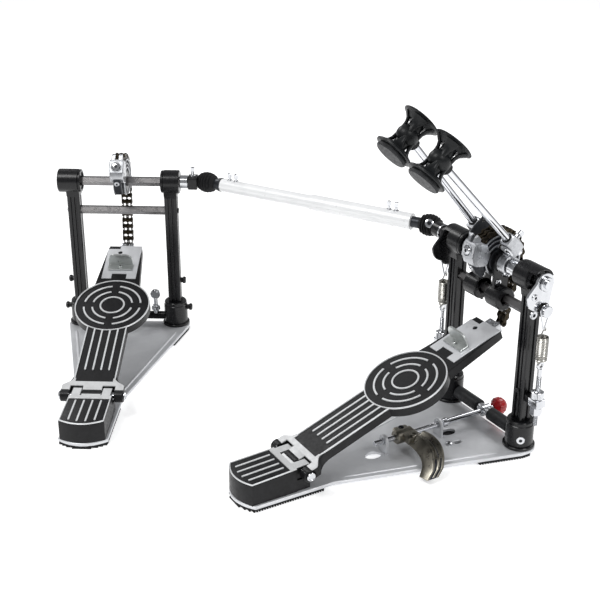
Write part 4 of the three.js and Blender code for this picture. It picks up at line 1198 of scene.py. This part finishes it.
def build_beater(label):
    x, angle, along = BEATERS[label]
    drive = "left_drive" if label == "left" else "main_drive"
    lean = MAIN @ shift(x, 0, AXLE_HEIGHT) @ tilt(angle)
    hub = Piece(f"{label}_hub", lean, drive, "cast_silver", f"{label}_beater_hub")
    hub.add(slab([circle(10.5, steps=40), hexagon(BORE_FLATS)], -5.6, 5.6, 0.9, "x"), "cast")
    back, front = ROD_OFFSET - 7, ROD_OFFSET + 7
    arm = [(2, 7), (back + 1, 3), (front - 1, 3), (front, 9), (front, 22), (front - 2, 23.8),
           (back + 2, 23.8), (back, 22), (back, 14), (4, 9.6)]
    hub.add(slab([arm], -6.3, 6.3, 1.0, "x"), "cast")
    hub.add(ring_of(5.2, 4.2, 23.6, 24.3, "z", (0, ROD_OFFSET, 0), 0.2), "rubber")
    key_bolt(hub, aim((0, 1, 0), (0, front - 0.3, 14)), 10, 1.35)
    if label == "left":
        face = rectangle(ROD_OFFSET - 11.5, ROD_OFFSET + 10.3, 0.6, 24.4)
        hub.add(slab([face], 6.2, 8.6, 0.7, "x"), "dark")
        hub.add(ring_of(1.9, 1.2, 8.5, 8.8, "x", (0, ROD_OFFSET + 7, 20.5), 0.1), "polished")
    else:
        hub.add(box((-6.4, ROD_OFFSET - 12, 8), (6.4, ROD_OFFSET - 7.4, 21), 0.8), "polished")
    socket_screw(hub, aim((0.35, -0.9, -0.2), (3, -8.6, -3)), 4.2, "polished", 3.0)
    hub.done()

    shaft = Piece(f"{label}_rod", lean, f"{label}_beater", "chrome", f"{label}_beater_rod")
    shaft.add(rod("z", -2, along + 8, ROD_RADIUS, (0, ROD_OFFSET, 0), 0.6, 32), "chrome")
    shaft.done()

    head = Piece(f"{label}_head", lean @ shift(0, ROD_OFFSET, along), f"{label}_beater",
                 "beater_plastic", f"{label}_beater_head")
    flare = [(0, 15), (8, 14.6), (11.8, 14.8), (13.4, 16), (15.6, 18), (18.4, 19.4), (20.6, 20.2),
             (20.9, 21), (20.3, 21.6), (17, 20.8), (0, 20.2)]
    cup = [(0, -14.6), (8, -14.2), (11.8, -14.4), (13.6, -15.4), (16.2, -16.8), (19.4, -18),
           (21.1, -19.2), (21, -20.4), (19.6, -21.2), (0, -21.2)]
    pad = [(0, -20.6), (15.6, -20.8), (15.6, -22.2), (17.3, -22.6), (17.6, -24.2), (16.4, -25.6),
           (0, -26)]
    head.add(turned(flare, "y", sides=56), "plastic")
    head.add(turned(cup, "y", sides=56), "plastic")
    head.add(turned(pad, "y", sides=56), "skirt")
    ball = [(0, -12.5)] + arc(12.5, -72, 72, (0, 0), 16) + [(0, 12.5)]
    head.add(turned([(r * 0.86, h) for r, h in ball], "z", sides=40), "plastic")
    head.add(rod("y", -16, 16, 7.5, edge=0.2), "plastic")
    # four bowed ribs join the two flared ends round the ball that grips the rod
    ribs = ((-18, 17.5, 16, 4), (-14, 13.2, 11, 4), (-10, 11.6, 7, 4), (-5, 11.2, 5, 3.6),
            (0, 11.1, 4.5, 3.4), (5, 11.2, 5, 3.6), (10, 11.6, 7, 4), (14, 13.2, 11.5, 4),
            (18.5, 17.6, 16, 3.4))  # height, outer radius, width and depth
    rings = [[(u * width / 2, y, reach + (v - 1) * depth / 2) for u, v in circle(1, steps=14)]
             for y, reach, width, depth in ribs]
    for quarter in range(4):
        head.add(loft(rings), "plastic", tilt(90 * quarter + 45, "Y"))
    head.add(ring_of(6.2, 4.2, -14.2, -9.5, "z", edge=0.6), "plastic")
    head.done()


# ------------------------------------------------------------------ hoop clamp


def build_clamp():
    centre = MAIN @ shift(CLAMP_ROD_X, 0, SPREADER_HEIGHT)
    screw = Piece("clamp_spindle", centre, "clamp_screw", "chrome", "clamp_rod")
    screw.add(rod("y", -143, 10.2, 3, edge=0.6), "chrome")
    screw.add(ring_of(4.6, 2.5, -58, -52, "y", (0, 0, 0)), "chrome")
    screw.done()
    knob = Piece("clamp_red_knob", centre, "clamp_screw", "red_plastic", "clamp_knob")
    profile = [(0, 10.5), (4.6, 10.5), (5.8, 11.6), (8.6, 14.4), (9.1, 18), (8.6, 21.8), (6.2, 25),
               (3, 25.9), (0, 26)]
    knob.add(turned(profile, "y", sides=40), "red")
    for i in range(10):
        ridge = rectangle(-1.4, 1.4, 14.2, 22)
        knob.add(slab([ridge], 7, 9.4, 0.8), "red", tilt(36 * i, "Y"))
    knob.done()

    lever = Piece("clamp_lever_casting", centre, "clamp_arm", "nickel_casting", "clamp_lever")
    lever.add(ring_of(7.6, 3.3, -117.5, -97, "y", edge=1.2), "nickel")
    lever.add(box((-8.4, -116, -4), (1, -99, 7.4), 2.2), "nickel")
    socket_screw(lever, aim((0.1, -0.3, 0.95), (-3.5, -108, 7.0)), 3.2, "dark", 1.2)
    lever.add(box((0, -112, -3), (17, -95, 5.6), 1.6), "nickel")
    lever.add(ring_of(4.4, 1.9, 4.6, 7.2, "z", (13, -103, 0), 0.5), "nickel")
    # the jaw: two curved rails with a channel between them, leaning towards the heel as they drop
    outer = bend((12, 6), (47, 11), (64, -7), 14) + [(66, -14.2), (54, -15.5)]
    inner = bend((50.5, -10), (42, -1.6), (12, -2.4), 12)
    rail = clean(outer + inner)
    floor = clean([(x, z - 2.6 if z > 0 else z) for x, z in outer] + inner)
    drop = Matrix(((1, 0, 0, 0), (0, 1, 1, 0), (0, 0, 1, 0), (0, 0, 0, 1)))
    for back, front in ((-110, -106.4), (-98.6, -94.4)):
        lever.add(slab([rail], back, front, 0.9, "y"), "nickel", drop)
    # the channel floor is dark: painted shade in the channels beside the middle strip
    lever.add(slab([floor], -106.8, -98.2, 0.5, "y"), "dark", drop)
    lever.add(slab([floor], -104.2, -101.4, 0.5, "y"), "nickel", drop @ shift(0, 0, 1.3))
    lever.done()


# ------------------------------------------------------------------ linkage


def bellows(joint_end, shaft_end):
    """A ribbed rubber boot about a universal joint, as a profile along the shaft."""
    profile = [(0, -12.2), (joint_end, -12.2), (joint_end, -10.6)]
    for i in range(6):
        z = -10 + i * 3.4
        swell = 12.4 - 0.03 * (z + 1.7) ** 2
        profile += [(swell - 2, z), (swell, z + 1.2), (swell, z + 1.9), (swell - 2, z + 3.1)]
    profile += [(shaft_end, 10.8), (shaft_end, 12.2), (0, 12.2)]
    return profile


def build_link():
    start = JOINT_REACH
    mouth = SHAFT_LENGTH - 150  # the outer tube's open end
    inner = Piece("link_tube_slave_side", SHAFT, "drive_shaft_inner", "chrome", "link_inner_tube")
    cone = [(0, start - 3), (6, start - 3), (7.4, start + 3), (8.4, start + 7), (8.4, start + 9),
            (0, start + 9)]
    inner.add(turned(cone, "x", sides=32), "dark")
    inner.add(rod("x", start + 8.5, mouth + 64, 8, edge=0.4, sides=40), "tube")
    for offset in TUBE_BOLTS:
        key_bolt(inner, shift(start + offset, 0, 7.7), 9, 0.9)
    inner.done()
    outer = Piece("link_tube_main_side", SHAFT, "drive_shaft_outer", "chrome", "link_outer_tube")
    end = SHAFT_LENGTH - start
    outer.add(ring_of(9.3, 8.3, mouth, end - 9, "x", edge=0.3, sides=44), "tube")
    outer.add(rod("x", end - 11, end + 2, 6.2, edge=0.4), "dark")
    outer.add(rod("x", end - 9.6, end - 9, 9.2, edge=0.1, sides=44), "tube")
    for offset in TUBE_BOLTS:
        key_bolt(outer, shift(end - 9 - offset, 0, 9), 10, 0.9)
    outer.done()
    left = Piece("link_boot_slave", SHAFT, "shaft_carriage", "rubber", "link_left_boot")
    left.add(turned(bellows(7.6, 7.2), "x", sides=40), "rubber")
    left.done()
    right = Piece("link_boot_main", SHAFT @ shift(SHAFT_LENGTH), "drive_shaft_outer", "rubber",
                  "link_right_boot")
    right.add(turned(bellows(6.4, 7.8), "x", sides=40), "rubber")
    socket_screw(right, aim((0.35, -0.8, 0.45), (3, -9.6, 5.4)), 5, "polished", 2.4)
    right.done()


# ------------------------------------------------------------------ the object

build_camera()
build_stage()
for label, place, angle, phase in (("main", MAIN, MAIN_BOARD_ANGLE, 0),
                                   ("slave", SLAVE, SLAVE_BOARD_ANGLE, SLAVE_CAM_PHASE)):
    build_base(label, place, f"{label}_frame", label == "main")
    build_heel(label, place, f"{label}_frame")
    build_board(label, place, f"{label}_board", angle)
    build_cam(label, place, f"{label}_drive", phase)
    build_chain(label, place, angle, phase)
for side in (-1, 1):
    build_post("main", MAIN, "main_frame", side, MAIN_HOUSING, MAIN_HOOD_END)
    build_post("slave", SLAVE, "slave_frame", side,
               (SLAVE_HOUSING_INNER, SLAVE_HOUSING_OUTER[side]))
    build_spring(side)
build_main_sockets()
build_bars()
build_brackets()
build_axles()
build_beater("right")
build_beater("left")
build_clamp()
build_link()
